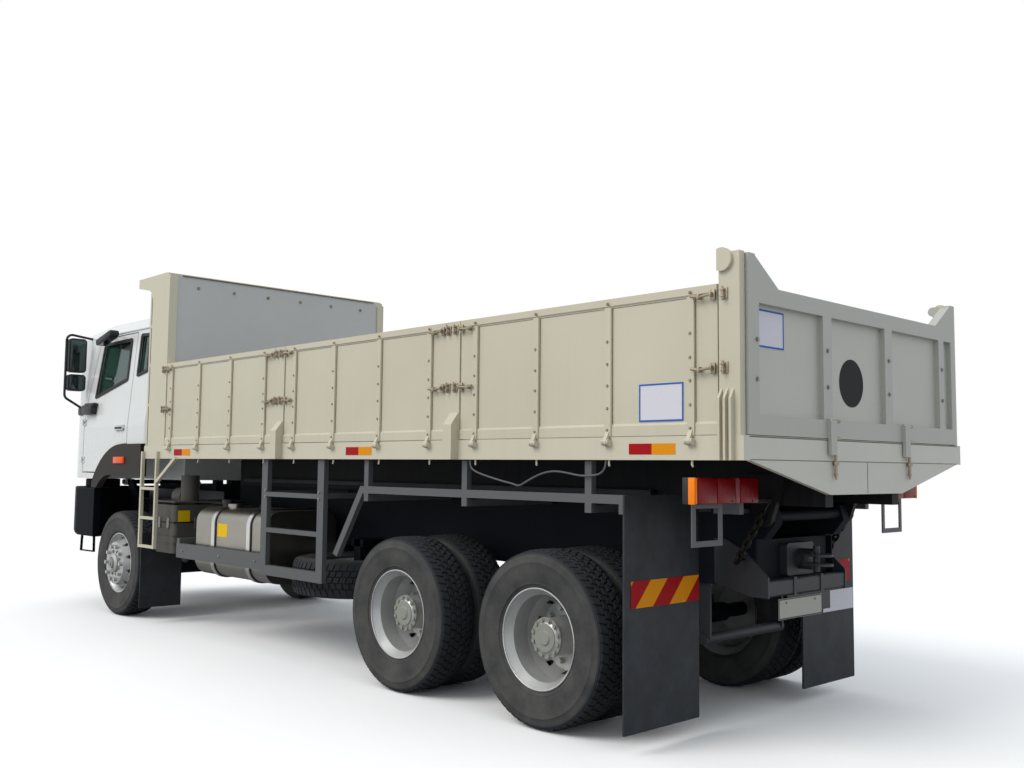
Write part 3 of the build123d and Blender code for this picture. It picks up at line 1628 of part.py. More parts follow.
for section, start in zip(section_names, section_starts):
    for side_name, side in SIDES.items():
        panel_start = start + gap
        panel_run = panel_length - 2 * gap
        if section == "front":
            panel_run = min(panel_run, head_rear_x - gap - panel_start)
        outer = half_width
        with BuildPart() as dropside:
            with BuildSketch(along(panel_start)):
                with BuildLine():
                    Polyline(
                        (side * (outer - side_thickness), panel_bottom_z),
                        (side * outer, panel_bottom_z),
                        (side * outer, panel_bottom_z + 55),
                        (side * (outer - skin_set), panel_bottom_z + 68),
                        (side * (outer - skin_set), side_top_z - 48),
                        (side * outer, side_top_z - 40),
                        (side * outer, side_top_z),
                        (side * (outer - side_thickness), side_top_z),
                        close=True,
                    )
                make_face()
            extrude(amount=panel_run)
            for offset_x in strip_offsets:
                x = start + offset_x
                with BuildSketch(Plane(origin=(x - strip_width / 2, 0, 0), x_dir=(0, 1, 0), z_dir=(1, 0, 0))):
                    strip_y = outer + (strip_proud - skin_set) / 2
                    with Locations((side * strip_y, (panel_bottom_z + strip_top_z) / 2)):
                        Rectangle(skin_set + strip_proud, strip_top_z - panel_bottom_z)
                extrude(amount=strip_width)
                with BuildSketch(along(x - 12)):
                    with Locations((side * hinge_y, hinge_z)):
                        Circle(eye_radius)
                    with BuildLine():
                        Polyline(
                            (side * (hinge_y - 22), panel_bottom_z + 30),
                            (side * (hinge_y - 13), panel_bottom_z + 30),
                            (side * (hinge_y + eye_radius - 2), hinge_z + 8),
                            (side * (hinge_y - 8), hinge_z + 14),
                            (side * (hinge_y - 22), panel_bottom_z),
                            close=True,
                        )
                    make_face()
                    with Locations((side * hinge_y, hinge_z)):
                        Circle(hinge_pin_radius + running, mode=Mode.SUBTRACT)
                extrude(amount=24)
        finish(dropside, "dropside_" + section + "_" + side_name)

with BuildPart() as hinge_lugs:
    for start in section_starts:
        for offset_x in strip_offsets:
            for side in SIDES.values():
                for lug_x in (start + offset_x - 24, start + offset_x + 14):
                    with BuildSketch(along(lug_x)):
                        with Locations((side * hinge_y, hinge_z)):
                            Circle(eye_radius)
                        with Locations((side * (half_width + 11), hinge_z - 8)):
                            Rectangle(22, 26)
                    extrude(amount=10)
                with BuildSketch(along(start + offset_x - 24)):
                    with Locations((side * hinge_y, hinge_z)):
                        Circle(hinge_pin_radius)
                extrude(amount=48)
finish(hinge_lugs, "hinge_lugs")

# Tailgate, hung from its ears
gate_half_width = half_width - post_depth - 7.0
gate_top_z = 2457.0
gate_ear_z = 2614.0
gate_depth = 60.0
gate_pin_reach = 40.0
gate_eye_radius = 30.0
gate_eye_width = 60.0
gate_lock_y = (420.0, -457.0)
gate_lock_width = 62.0
gate_lock_proud = 25.0
with BuildPart() as tailgate:
    with BuildSketch(along(tail_x)):
        with BuildLine():
            Polyline(
                (-gate_half_width, panel_bottom_z),
                (gate_half_width, panel_bottom_z),
                (gate_half_width, gate_ear_z),
                (1150, gate_ear_z),
                (920, gate_top_z),
                (-920, gate_top_z),
                (-1150, gate_ear_z),
                (-gate_half_width, gate_ear_z),
                close=True,
            )
        make_face()
        fillet(vertices().filter_by(lambda v: v.Z > gate_top_z - 1 and abs(v.Y) < 1160), radius=90)
    extrude(amount=gate_depth)
    # The skin is set in between the frame and its uprights
    with BuildSketch(along(tail_x)):
        for low_y, high_y in ((-960, -322), (-230, 388), (480, 1105), (-1140, -1032)):
            with Locations(((low_y + high_y) / 2, (1800 + 2368) / 2)):
                Rectangle(high_y - low_y, 568)
    extrude(amount=34, mode=Mode.SUBTRACT)
    for side in SIDES.values():
        # Ear block round the gate's pin
        with BuildSketch(across(side * (gate_half_width - gate_eye_width))):
            with Locations((gate_pin_x, gate_pin_z)):
                Circle(gate_eye_radius)
            with Locations(((tail_x + gate_pin_x) / 2, gate_pin_z)):
                Rectangle(gate_pin_x - tail_x, 2 * gate_eye_radius)
        extrude(amount=-side * gate_eye_width)
        with BuildSketch(across(side * (gate_half_width - 1))):
            with Locations((gate_pin_x, gate_pin_z)):
                Circle(gate_pin_radius)
        extrude(amount=-side * gate_pin_reach)
    # Locks that reach down behind the sill
    for lock_y in gate_lock_y:
        with BuildSketch(across(lock_y - gate_lock_width / 2)):
            with BuildLine():
                Polyline(
                    (tail_x, 1808),
                    (tail_x, panel_bottom_z),
                    (tail_x - gap, panel_bottom_z),
                    (tail_x - gap, 1610),
                    (tail_x - gate_lock_proud, 1610),
                    (tail_x - gate_lock_proud, 1795),
                    (tail_x - gate_lock_proud + 12, 1808),
                    close=True,
                )
            make_face()
        extrude(amount=-gate_lock_width)
finish(tailgate, "tailgate")

# Under-body tipping cylinder
ram_run = hypot(ram_base_x - ram_eye_x, ram_eye_z - ram_base_z)
ram_dir = Vector(ram_eye_x - ram_base_x, 0, ram_eye_z - ram_base_z).normalized()
ram_base = Vector(ram_base_x, 0, ram_base_z)
ram_plane = Plane(origin=ram_base, x_dir=(0, 1, 0), z_dir=ram_dir)

with BuildPart() as ram_barrel:
    with BuildSketch(ram_plane.offset(60)):
        Circle(barrel_radius)
        Circle(rod_radius + running, mode=Mode.SUBTRACT)
    extrude(amount=ram_run - 60 - 160)
    with BuildSketch(ram_plane.offset(60)):
        Circle(barrel_radius)
    extrude(amount=20)
    with BuildSketch(Plane.XZ):
        with Locations((ram_base_x, ram_base_z)):
            Circle(64)
            Circle(ram_pin_radius + running, mode=Mode.SUBTRACT)
    extrude(amount=barrel_eye_half, both=True)
finish(ram_barrel, "ram_barrel")

with BuildPart() as ram_rod:
    with BuildSketch(ram_plane.offset(80)):
        Circle(rod_radius)
    extrude(amount=ram_run - 80)
    # The eye carries its own pin, flush with both faces
    with BuildSketch(Plane.XZ):
        with Locations((ram_eye_x, ram_eye_z)):
            Circle(ram_eye_radius)
    extrude(amount=rod_eye_half, both=True)
finish(ram_rod, "ram_rod")

# Loose cable that hangs from the left rave
cable_radius = 6.0
cable_y = half_width - 18.0
cable_seat = 0.2  # between the cable's ends and the rave
cable_corner_share = 0.45  # of the shorter run, taken by each corner's arc
cable_bends = (
    (2046.0, 1534.0),
    (2017.0, 1505.0),
    (1950.0, 1484.0),
    (1850.0, 1462.0),
    (1740.0, 1440.0),
    (1660.0, 1428.0),
    (1600.0, 1413.0),
    (1555.0, 1433.0),
    (1470.0, 1471.0),
    (1380.0, 1499.0),
    (1290.0, 1507.0),
    (1195.0, 1496.0),
    (1100.0, 1481.0),
    (1010.0, 1484.0),
    (945.0, 1494.0),
    (908.0, 1534.0),
)
cable_points = [
    Vector(tail_x + x, cable_y, z)
    for x, z in ((2046.0, rave_bottom_z - cable_seat), *cable_bends, (908.0, rave_bottom_z - cable_seat))
]
cable_radii = []
for before, corner, after in zip(cable_points, cable_points[1:], cable_points[2:]):
    run_in, run_out = corner - before, after - corner
    shorter = min(run_in.length, run_out.length)
    cable_radii.append(cable_corner_share * shorter / tan(radians(run_in.get_angle(run_out) / 2)))
print("cable radii", [round(radius) for radius in cable_radii])
with BuildPart() as loose_cable:
    with BuildLine() as route:
        FilletPolyline(*cable_points, radius=cable_radii)
    with BuildSketch(Plane(origin=route.line @ 0, z_dir=route.line % 0)):
        Circle(cable_radius)
    sweep(path=route.line)
cable_length = sum(edge.length for edge in route.edges())
cable_fill = loose_cable.part.volume / (pi * cable_radius**2 * cable_length)
print("cable length", round(cable_length), "volume against section times length", round(cable_fill, 4))
finish(loose_cable, "loose_cable")
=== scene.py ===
"""Looks for a dropside tipper truck, laid out as a Blender add-on and run as a script."""

import math
from itertools import product

import bmesh
import bpy
from bpy.props import FloatProperty, FloatVectorProperty, IntProperty, PointerProperty
from mathutils import Matrix, Vector


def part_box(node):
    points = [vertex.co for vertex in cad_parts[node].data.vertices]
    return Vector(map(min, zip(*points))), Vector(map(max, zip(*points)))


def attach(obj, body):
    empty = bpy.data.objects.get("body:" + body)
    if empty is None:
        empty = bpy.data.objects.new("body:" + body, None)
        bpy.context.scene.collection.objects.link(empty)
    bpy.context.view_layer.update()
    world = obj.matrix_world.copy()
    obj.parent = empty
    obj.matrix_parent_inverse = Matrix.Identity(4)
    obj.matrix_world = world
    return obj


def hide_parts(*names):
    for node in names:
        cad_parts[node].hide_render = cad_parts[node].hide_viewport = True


bl_info = {
    "name": "Tipper truck looks",
    "version": (1, 0, 0),
    "blender": (4, 5, 0),
    "location": "View3D > Sidebar > Truck",
    "description": "Paint, rubber, glass, fittings and trim for a dropside tipper truck",
    "category": "Object",
}

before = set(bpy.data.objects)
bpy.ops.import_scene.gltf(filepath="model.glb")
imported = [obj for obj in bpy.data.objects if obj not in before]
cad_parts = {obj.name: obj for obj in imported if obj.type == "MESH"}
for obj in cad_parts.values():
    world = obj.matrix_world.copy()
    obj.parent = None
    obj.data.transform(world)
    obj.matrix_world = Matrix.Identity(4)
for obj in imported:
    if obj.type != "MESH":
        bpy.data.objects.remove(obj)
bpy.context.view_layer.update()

SIDES = {"left": 1, "right": -1}
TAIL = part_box("body_floor")[0].x  # rear face of the load body, from which every X below is counted
RAVE_Y, SKIN_Y, STRIP_Y = 1.25, 1.242, 1.259  # outer faces of a rave, a dropside's skin and its bolted strips
CAB_Y, WAIST_Z, CAB_LEAN = 1.205, 1.9, 0.0837  # the cab's side, and how it leans in above the waist
REARWARD = (-1, 0, 0)


def at(x, y, z):
    """A point given from the body's rear face, in metres."""
    return Vector((TAIL + x, y, z))


def on(side):
    """The same for one side of the truck, with Y counted outwards."""
    return lambda x, y, z: at(x, side * y, z)


# ---------------------------------------------------------------- colours and nodes
def linear(colour, share=1.0):
    """An sRGB hex colour, or a colour that a user has set, as linear RGBA, or a share of its light."""
    if isinstance(colour, str):
        channels = [int(colour[i : i + 2], 16) / 255 for i in (1, 3, 5)]
        colour = [c / 12.92 if c <= 0.04045 else ((c + 0.055) / 1.055) ** 2.4 for c in channels]
    return (*(share * c for c in colour), 1.0)


def add(tree, kind, links=(), **settings):
    """Add a node. Settings name its options or sockets; links take a node, an output or a value."""
    node = tree.nodes.new("ShaderNode" + kind)
    for name, value in settings.items():
        if hasattr(node, name):
            setattr(node, name, value)
        else:
            wanted = name.replace("_", " ").lower()
            next(s for s in node.inputs if s.name.lower() == wanted).default_value = value
    for name, source in dict(links).items():
        if isinstance(source, bpy.types.Node):
            source = next(s for s in source.outputs if s.enabled)
        if isinstance(source, bpy.types.NodeSocket):
            tree.links.new(source, node.inputs[name])
        else:
            node.inputs[name].default_value = source
    return node


def new_material(name):
    """An empty node material, its tree, and the coordinates that its patterns read."""
    material = bpy.data.materials.new(name)
    material.use_nodes = True
    tree = material.node_tree
    tree.nodes.clear()
    return material, tree, add(tree, "TexCoord").outputs["Object"]


def finish_surface(material, links, **settings):
    """Close a material with a surface shader."""
    shader = add(material.node_tree, "BsdfPrincipled", links, **settings)
    add(material.node_tree, "OutputMaterial", {"Surface": shader})
    return material


def painted_steel(name, colour, shade, roughness, dust, grime="#6E665A", coat=0.0, flake=0.0, ior=1.5):
    """Two-pack paint sprayed on steel sheet: even colour, faint orange peel, dull where road dust lies."""
    material, tree, where = new_material(name)
    cloud = add(tree, "TexNoise", {"Vector": where}, Scale=1.3, Detail=5.0, Roughness=0.6)
    # Rain streaks run down the sides: the noise is drawn out along Z, about 40 mm wide
    down = add(tree, "Mapping", {"Vector": where}, Scale=(25.0, 25.0, 0.9))
    streak = add(tree, "TexNoise", {"Vector": down}, Scale=1.0, Detail=3.0)
    height = add(tree, "SeparateXYZ", {"Vector": where}).outputs["Z"]
    low = add(tree, "MapRange", {"Value": height}, From_Min=2.6, From_Max=0.3)
    film = add(tree, "Math", {0: low, 1: streak}, operation="MULTIPLY", use_clamp=True)
    spread = add(tree, "Math", {0: film, 1: cloud, 2: 0.02}, operation="MULTIPLY_ADD")
    amount = add(tree, "Math", {0: spread, 1: dust}, operation="MULTIPLY", use_clamp=True)
    tone = add(tree, "Mix", {0: cloud, 6: linear(colour), 7: linear(shade)}, data_type="RGBA")
    dirty = add(tree, "Mix", {0: amount, 6: tone, 7: linear(grime)}, data_type="RGBA")
    # Orange peel, 4 mm across
    peel = add(tree, "TexNoise", {"Vector": where}, Scale=260.0, Detail=1.0)
    bump = add(tree, "Bump", {"Height": peel}, Strength=0.05, Distance=0.0006)
    rough = add(tree, "MapRange", {"Value": amount}, To_Min=roughness, To_Max=0.85)
    links = {"Base Color": dirty, "Roughness": rough, "Normal": bump}
    return finish_surface(material, links, Coat_Weight=coat, Coat_Roughness=0.08, Metallic=flake, IOR=ior)


def moulded_plastic(name, colour, worn, roughness, ior=1.49):
    """Grained polypropylene or ABS: matt, greyed with age, its grain drawn 3 mm across so that it shows."""
    material, tree, where = new_material(name)
    cloud = add(tree, "TexNoise", {"Vector": where}, Scale=3.0, Detail=6.0)
    tone = add(tree, "Mix", {0: cloud, 6: linear(colour), 7: linear(worn)}, data_type="RGBA")
    cells = add(tree, "TexVoronoi", {"Vector": where}, Scale=300.0)
    bump = add(tree, "Bump", {"Height": cells}, Strength=0.15, Distance=0.0008)
    return finish_surface(material, {"Base Color": tone, "Normal": bump}, Roughness=roughness, IOR=ior)


def bare_metal(name, colour, shade, roughness, brush=(60.0, 60.0, 6.0)):
    """Rolled, cast or plated metal: its grain runs one way and its sheen breaks up with handling."""
    material, tree, where = new_material(name)
    along = add(tree, "Mapping", {"Vector": where}, Scale=brush)
    grain = add(tree, "TexNoise", {"Vector": along}, Scale=2.0, Detail=4.0)
    cloud = add(tree, "TexNoise", {"Vector": where}, Scale=4.0, Detail=5.0)
    tone = add(tree, "Mix", {0: cloud, 6: linear(colour), 7: linear(shade)}, data_type="RGBA")
    rough = add(tree, "MapRange", {"Value": grain}, To_Min=roughness - 0.08, To_Max=roughness + 0.14)
    bump = add(tree, "Bump", {"Height": grain}, Strength=0.08, Distance=0.001)
    return finish_surface(material, {"Base Color": tone, "Roughness": rough, "Normal": bump}, Metallic=1.0)


def vulcanised_rubber(name, colour, dusty, roughness=0.82):
    """Filled black rubber that has greyed and taken up brown road dust in broad patches."""
    material, tree, where = new_material(name)
    cloud = add(tree, "TexNoise", {"Vector": where}, Scale=5.0, Detail=8.0, Roughness=0.65)
    patch = add(tree, "MapRange", {"Value": cloud}, From_Min=0.35, From_Max=0.7)
    tone = add(tree, "Mix", {0: patch, 6: linear(colour), 7: linear(dusty)}, data_type="RGBA")
    skin = add(tree, "TexNoise", {"Vector": where}, Scale=180.0, Detail=2.0)
    bump = add(tree, "Bump", {"Height": skin}, Strength=0.2, Distance=0.001)
    return finish_surface(material, {"Base Color": tone, "Normal": bump}, Roughness=roughness)


def tinted_glass(name, colour):
    """Toughened float glass, tinted green in the melt, seen dark against the cab's inside."""
    material, tree, where = new_material(name)
    film = add(tree, "TexNoise", {"Vector": where}, Scale=2.0, Detail=4.0)
    rough = add(tree, "MapRange", {"Value": film}, To_Min=0.0, To_Max=0.06)
    links = {"Base Color": linear(colour), "Roughness": rough}
    return finish_surface(material, links, Transmission_Weight=0.92, IOR=1.52)


def lamp_lens(name, colour, glow=0.0):
    """Moulded acrylic lens with fine upright flutes, 12 mm apart, over a bright reflector."""
    material, tree, where = new_material(name)
    flutes = add(tree, "TexWave", {"Vector": where}, Scale=26.0, bands_direction="Y").outputs["Fac"]
    tone = add(tree, "Mix", {0: flutes, 6: linear(colour, 0.55), 7: linear(colour)}, data_type="RGBA")
    bump = add(tree, "Bump", {"Height": flutes}, Strength=0.4, Distance=0.002)
    links = {"Base Color": tone, "Normal": bump, "Emission Color": linear(colour)}
    return finish_surface(material, links, Roughness=0.28, IOR=1.3, Emission_Strength=glow)


def reflective_film(name, colour):
    """Retroreflective sheeting: a flat bright colour over a honeycomb of 3 mm cells."""
    material, tree, where = new_material(name)
    cells = add(tree, "TexVoronoi", {"Vector": where}, Scale=300.0, feature="DISTANCE_TO_EDGE")
    edge = add(tree, "MapRange", {"Value": cells}, From_Min=0.0, From_Max=0.12)
    tone = add(tree, "Mix", {0: edge, 6: linear(colour, 0.8), 7: linear(colour)}, data_type="RGBA")
    return finish_surface(material, {"Base Color": tone}, Roughness=0.5, IOR=1.25)


def woven_cloth(name, colour, fleck):
    """Flat-woven polyester seat cloth with threads about 1.5 mm apart and a paler fleck."""
    material, tree, where = new_material(name)
    warp, weft = (
        add(tree, "TexWave", {"Vector": where}, Scale=210.0, bands_direction=way).outputs["Fac"] for way in "YZ"
    )
    weave = add(tree, "Math", {0: warp, 1: weft}, operation="MULTIPLY")
    speck = add(tree, "TexNoise", {"Vector": where}, Scale=140.0, Detail=2.0)
    tone = add(tree, "Mix", {0: speck, 6: linear(colour), 7: linear(fleck)}, data_type="RGBA")
    bump = add(tree, "Bump", {"Height": weave}, Strength=0.3, Distance=0.001)
    return finish_surface(material, {"Base Color": tone, "Normal": bump}, Roughness=0.9, Sheen_Weight=0.3)


def box_paint(name, colour, inner, low, high, ior=1.5):
    """The painted_steel look with a second colour inside a box of the object's space."""
    material = painted_steel(name, colour, colour, 0.48, 0.4, ior=ior)
    tree = material.node_tree
    shader = next(n for n in tree.nodes if n.bl_idname == "ShaderNodeBsdfPrincipled")
    outer = shader.inputs["Base Color"].links[0].from_socket
    where = add(tree, "TexCoord").outputs["Object"]
    place = add(tree, "SeparateXYZ", {"Vector": where}).outputs
    inside = 1.0
    for ends, test in ((low, "GREATER_THAN"), (high, "LESS_THAN")):
        for axis, end in zip("XYZ", ends):
            within = add(tree, "Math", {0: place[axis], 1: end}, operation=test)
            inside = add(tree, "Math", {0: within, 1: inside}, operation="MULTIPLY")
    # The second colour is greyed as painted shade for the rails' rear faces, the tailgate and the headboard's
    # panel; scuffing darkens it at random
    scuff = add(tree, "TexNoise", {"Vector": where}, Scale=2.2, Detail=6.0, Roughness=0.7)
    worn = add(tree, "Mix", {0: scuff, 6: linear(inner), 7: linear(inner, 0.86)}, data_type="RGBA")
    choice = add(tree, "Mix", {0: inside, 6: outer, 7: worn}, data_type="RGBA")
    tree.links.new(choice.outputs[2], shader.inputs["Base Color"])
    return material


FINISHES = {}


def make_finishes():
    """Every finish on the truck, by the name of what it is."""
    colours = bpy.context.scene.truck_colours
    FINISHES.update(
        # Paints on steel, some darkened and greyed with painted shade
        cream_paint=painted_steel("cream_two_pack_paint", colours.body, "#BFB8A2", 0.42, 0.55),
        cab_lacquer=painted_steel("cab_white_lacquer", colours.cab, "#D5D6D3", 0.25, 0.4, "#8C867C", 0.4),
        # Black chassis paint, made near-black navy as painted shade under the body
        chassis_paint=painted_steel("chassis_black_paint_and_shade", "#0B0F16", "#131820", 0.6, 0.25, "#2E2C29", ior=1.2),
        slate_paint=painted_steel("guard_slate_paint", "#55585B", "#4B4D50", 0.5, 0.55, "#655F54"),
        tow_paint=painted_steel("tow_frame_dark_paint", "#2A2D32", "#20242A", 0.5, 0.4, "#3A3732"),
        wheel_lacquer=painted_steel(
            "wheel_silver_lacquer", "#C8C9C8", "#ADADAA", 0.3, 0.5, "#5F594F", flake=0.45
        ),
        hub_paint=painted_steel("hub_grey_paint", "#96978F", "#85867E", 0.5, 0.5, "#4D463D"),
        # Grey load floor inside the body; below it the near-black navy underside, painted shade as on the
        # chassis
        floor_paint=box_paint(
            "floor_paint", "#0B0F16", "#7D7B74", (TAIL - 1, -1.3, 1.688), (TAIL + 6.37, 1.3, 2.0), 1.2
        ),
        # Tailgate frame and its lighter panel: the body's cream, greyed and darkened as painted shade on the
        # rear face
        gate_paint=box_paint(
            "gate_paint", "#ADADA5", "#BDBCB3", (TAIL + 0.03, -1.2, 1.79), (TAIL + 0.04, 1.2, 2.372)
        ),
        # Cream rails whose rear faces are greyed as painted shade
        rail_paint=box_paint(
            "rail_paint", "#C9C2AD", "#C6C5BA", (TAIL - 1, -1.24, 1.3), (TAIL + 0.004, 1.24, 1.7)
        ),
        # Cream headboard whose middle, with its rear-facing panel, is greyed as painted shade
        headboard_paint=box_paint(
            "headboard_paint", "#C7C0AA", "#BFC0BE", (TAIL + 6.0, -1.166, 1.6), (TAIL + 6.39, 1.166, 3.4)
        ),
        # Metals
        rim_lip=bare_metal("polished_rim_lip", "#E3E2DF", "#BDBBB6", 0.22),
        tank_aluminium=bare_metal("tank_rolled_aluminium", "#AAA69C", "#928E85", 0.3),
        zinc_steel=bare_metal("zinc_plated_steel", "#A9A9A6", "#84837E", 0.42),
        dark_steel=bare_metal("oiled_dark_steel", "#3A3835", "#2A2826", 0.5),
        rusty_steel=bare_metal("rusty_bolt_steel", "#B3A58F", "#85745F", 0.6),
        latch_steel=bare_metal("weathered_latch_steel", "#BDB39F", "#857763", 0.55),
        chromed_rod=bare_metal("hard_chromed_rod", "#D5D7D8", "#CBCDCE", 0.18),
        # Silvering darkened so that the mirror shows a painted dark reflection
        mirror=bare_metal("mirror_silvering_darkened_as_reflection", "#4A5556", "#434D4E", 0.12, (1.0, 1.0, 1.0)),
        # Plastics and enamel
        bumper_abs=moulded_plastic("bumper_black_abs", "#090C11", "#101318", 0.6, 1.15),
        fender_plastic=moulded_plastic("fender_grey_polypropylene", "#241E1B", "#2E2824", 0.55, 1.3),
        trim_plastic=moulded_plastic("black_trim_plastic", "#111213", "#1C1D1F", 0.45),
        dash_abs=moulded_plastic("dashboard_grey_abs", "#3C3D40", "#45464A", 0.6),
        box_plastic=moulded_plastic("battery_box_polypropylene", "#403E3A", "#545149", 0.6),
        board_black=moulded_plastic("disc_black_enamel", "#020306", "#07080C", 0.5, 1.25),
        cable_jacket=moulded_plastic("cable_grey_jacket", "#4A4C4F", "#5A5B5C", 0.55),
        # Rubbers and sealant
        tread_rubber=vulcanised_rubber("tread_rubber", "#1C1F23", "#2A2E33"),
        sidewall_rubber=vulcanised_rubber("sidewall_rubber", "#2F2F2F", "#4A4946"),
        flap_rubber=vulcanised_rubber("flap_rubber", "#14171B", "#2A2F35", 0.6),
        seal_rubber=vulcanised_rubber("seal_rubber", "#0D0D0D", "#161616", 0.6),
        # Thin brown lines along the dropsides' strips and top edges, across the sill and under the headboard's
        # top
        sealant=vulcanised_rubber("brown_line_finish", "#6E6155", "#83766A", 0.8),
        # Glass, lenses, films and cloth
        glass=tinted_glass("green_tinted_glass", "#5B7D70"),
        red_lens=lamp_lens("red_acrylic_lens", "#8A0A12", 0.02),
        pale_lens=lamp_lens("pale_acrylic_lens", "#A4565A", 0.02),
        amber_lens=lamp_lens("amber_acrylic_lens", "#F07E10", 0.12),
        marker_lens=lamp_lens("marker_acrylic_lens", "#E2520F", 0.1),
        clear_lens=lamp_lens("clear_acrylic_lens", "#CFD3D2"),
        red_film=reflective_film("red_reflective_film", "#A3040A"),
        amber_film=reflective_film("amber_reflective_film", "#E08E02"),
        white_film=reflective_film("white_reflective_film", "#D6D4DC"),
        yellow_film=reflective_film("yellow_reflective_film", "#E8BE08"),
        blue_film=reflective_film("blue_printed_film", "#2F62B4"),
        plate_alloy=reflective_film("blank_plate_alloy", "#ADABA2"),
        label_beige=reflective_film("blank_label_vinyl", "#BDB09A"),
        seat_cloth=woven_cloth("seat_woven_cloth", "#2B2E36", "#434854"),
    )


# ---------------------------------------------------------------- building blocks
def align(start, end):
    """A matrix that stands local Z along the line from start to end, at its middle."""
    return Matrix.Translation((start + end) / 2) @ (end - start).to_track_quat("Z", "Y").to_matrix().to_4x4()


def soften(bm, geom, offset, segments, affect="EDGES"):
    """Round edges, or the corners of an outline."""
    bmesh.ops.bevel(
        bm,
        geom=geom,
        offset=offset,
        segments=segments,
        profile=0.5,
        affect=affect,
        material=-1,
        clamp_overlap=affect == "EDGES",
    )


def block(bm, low, high, edge=0.0, finish=0):
    """A box between two corners, its edges rounded by edge."""
    low, high = Vector(low), Vector(high)
    verts = bmesh.ops.create_cube(bm, size=1.0)["verts"]
    bmesh.ops.scale(bm, vec=[abs(b - a) for a, b in zip(low, high)], verts=verts)
    bmesh.ops.translate(bm, vec=(low + high) / 2, verts=verts)
    for face in {f for v in verts for f in v.link_faces}:
        face.material_index = finish
    if edge:
        soften(bm, list({e for v in verts for e in v.link_edges}), edge, 2)


def lug(bm, foot, half_x, out, half_z, edge=0.0, finish=0):
    """A block centred on its foot in X and Z, standing out by out along Y."""
    block(bm, foot - Vector((half_x, 0, half_z)), foot + Vector((half_x, out, half_z)), edge, finish)


def bar(bm, start, end, radius, sides=16, finish=0, tip=None):
    """A round bar, or a cone where tip is its far radius."""
    start, end = Vector(start), Vector(end)
    made = bmesh.ops.create_cone(
        bm,
        cap_ends=True,
        cap_tris=False,
        segments=sides,
        radius1=radius,
        radius2=radius if tip is None else tip,
        depth=(end - start).length,
        matrix=align(start, end),
    )
    for face in {f for v in made["verts"] for f in v.link_faces}:
        face.material_index = finish


def bolt(bm, foot, out, size=0.011, finish=0):
    """A hexagon head on its washer, standing out from a face."""
    out = Vector(out)
    bar(bm, foot - out * 0.002, foot + out * size * 0.25, size * 1.5, 14, finish)
    bar(bm, foot, foot + out * size * 1.1, size, 6, finish)


def turned(bm, outline, steps):
    """Spin a closed outline of radius and width about local Y."""
    verts = [bm.verts.new((0.0, w, r)) for r, w in outline]
    edges = [bm.edges.new(pair) for pair in zip(verts, verts[1:] + verts[:1])]
    bmesh.ops.spin(
        bm, geom=verts + edges, cent=(0, 0, 0), axis=(0, 1, 0), angle=math.tau, steps=steps, use_merge=True
    )


def circle(count, radius, shift=0.0):
    """Points evenly round a circle, the first turned by a share of their spacing."""
    angles = [math.tau * (n + shift) / count for n in range(count)]
    return [(math.cos(a) * radius, math.sin(a) * radius) for a in angles]


def join(bm, other, place=None):
    """Move the mesh of one bmesh into another, put in its place."""
    if place:
        bmesh.ops.transform(other, matrix=place, verts=other.verts)
    carried = bpy.data.meshes.new("carried")
    other.to_mesh(carried)
    other.free()
    bm.from_mesh(carried)
    bpy.data.meshes.remove(carried)


def rim(bm, points, width, corner=0.0, segments=4, rounded=slice(None)):
    """A flat frame of one width inside an outline, some of whose corners are rounded."""
    before = set(bm.faces)
    verts = [bm.verts.new(p) for p in points]
    bm.faces.new(verts)
    if corner:
        soften(bm, verts[rounded], corner, segments, "VERTICES")
    face = max((f for f in bm.faces if f not in before), key=lambda f: len(f.verts))
    face.normal_update()
    made = bmesh.ops.inset_individual(bm, faces=[face], thickness=width, use_even_offset=True)["faces"]
    bmesh.ops.delete(bm, geom=[face], context="FACES")
    return made


def ring(bm, points, width, rise, corner=0.0, finish=0):
    """A frame like rim's, standing rise off its plane."""
    before = set(bm.faces)
    bmesh.ops.solidify(bm, geom=rim(bm, points, width, corner), thickness=rise)
    for made in set(bm.faces) - before:
        made.material_index = finish


def piece(name, bm, finishes, body, flat=30.0):
    """Close a mesh, give it its finishes, named in one string, and let it ride on its body."""
    bmesh.ops.recalc_face_normals(bm, faces=bm.faces)
    mesh = bpy.data.meshes.new(name)
    bm.to_mesh(mesh)
    bm.free()
    for finish in finishes.split():
        mesh.materials.append(FINISHES[finish])
    for face in mesh.polygons:
        face.use_smooth = True
    mesh.set_sharp_from_angle(angle=math.radians(flat))
    made = bpy.data.objects.new(name, mesh)
    bpy.context.scene.collection.objects.link(made)
    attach(made, body)
    return made


def boxes(name, finishes, body, rows, where=at):
    """A piece made of blocks: for each its two corners, its rounding and the number of its finish."""
    bm = bmesh.new()
    for low, high, *rest in rows:
        block(bm, where(*low), where(*high), *rest)
    return piece(name, bm, finishes, body)


# ---------------------------------------------------------------- sizes and colours a user would change
class TruckSizes(bpy.types.PropertyGroup):
    """Sizes of the fittings."""

    tread_depth: FloatProperty(
        name="Tread depth", description="Depth of the tyres' grooves", default=0.016, unit="LENGTH"
    )
    tread_pitches: IntProperty(
        name="Tread pitches", description="Rows of tread blocks round a tyre", default=60, min=20
    )
    bolt_head: FloatProperty(
        name="Bolt head", description="Radius of the panels' bolt heads", default=0.0095, unit="LENGTH"
    )
    seam_width: FloatProperty(
        name="Seam width", description="Width of the dark seams between panels", default=0.003, unit="LENGTH"
    )
    sign_border: FloatProperty(
        name="Sign border", description="Width of a blank sign's border", default=0.009, unit="LENGTH"
    )
    lamp_height: FloatProperty(
        name="Lamp height", description="Height of the tail lamps' lenses", default=0.136, unit="LENGTH"
    )


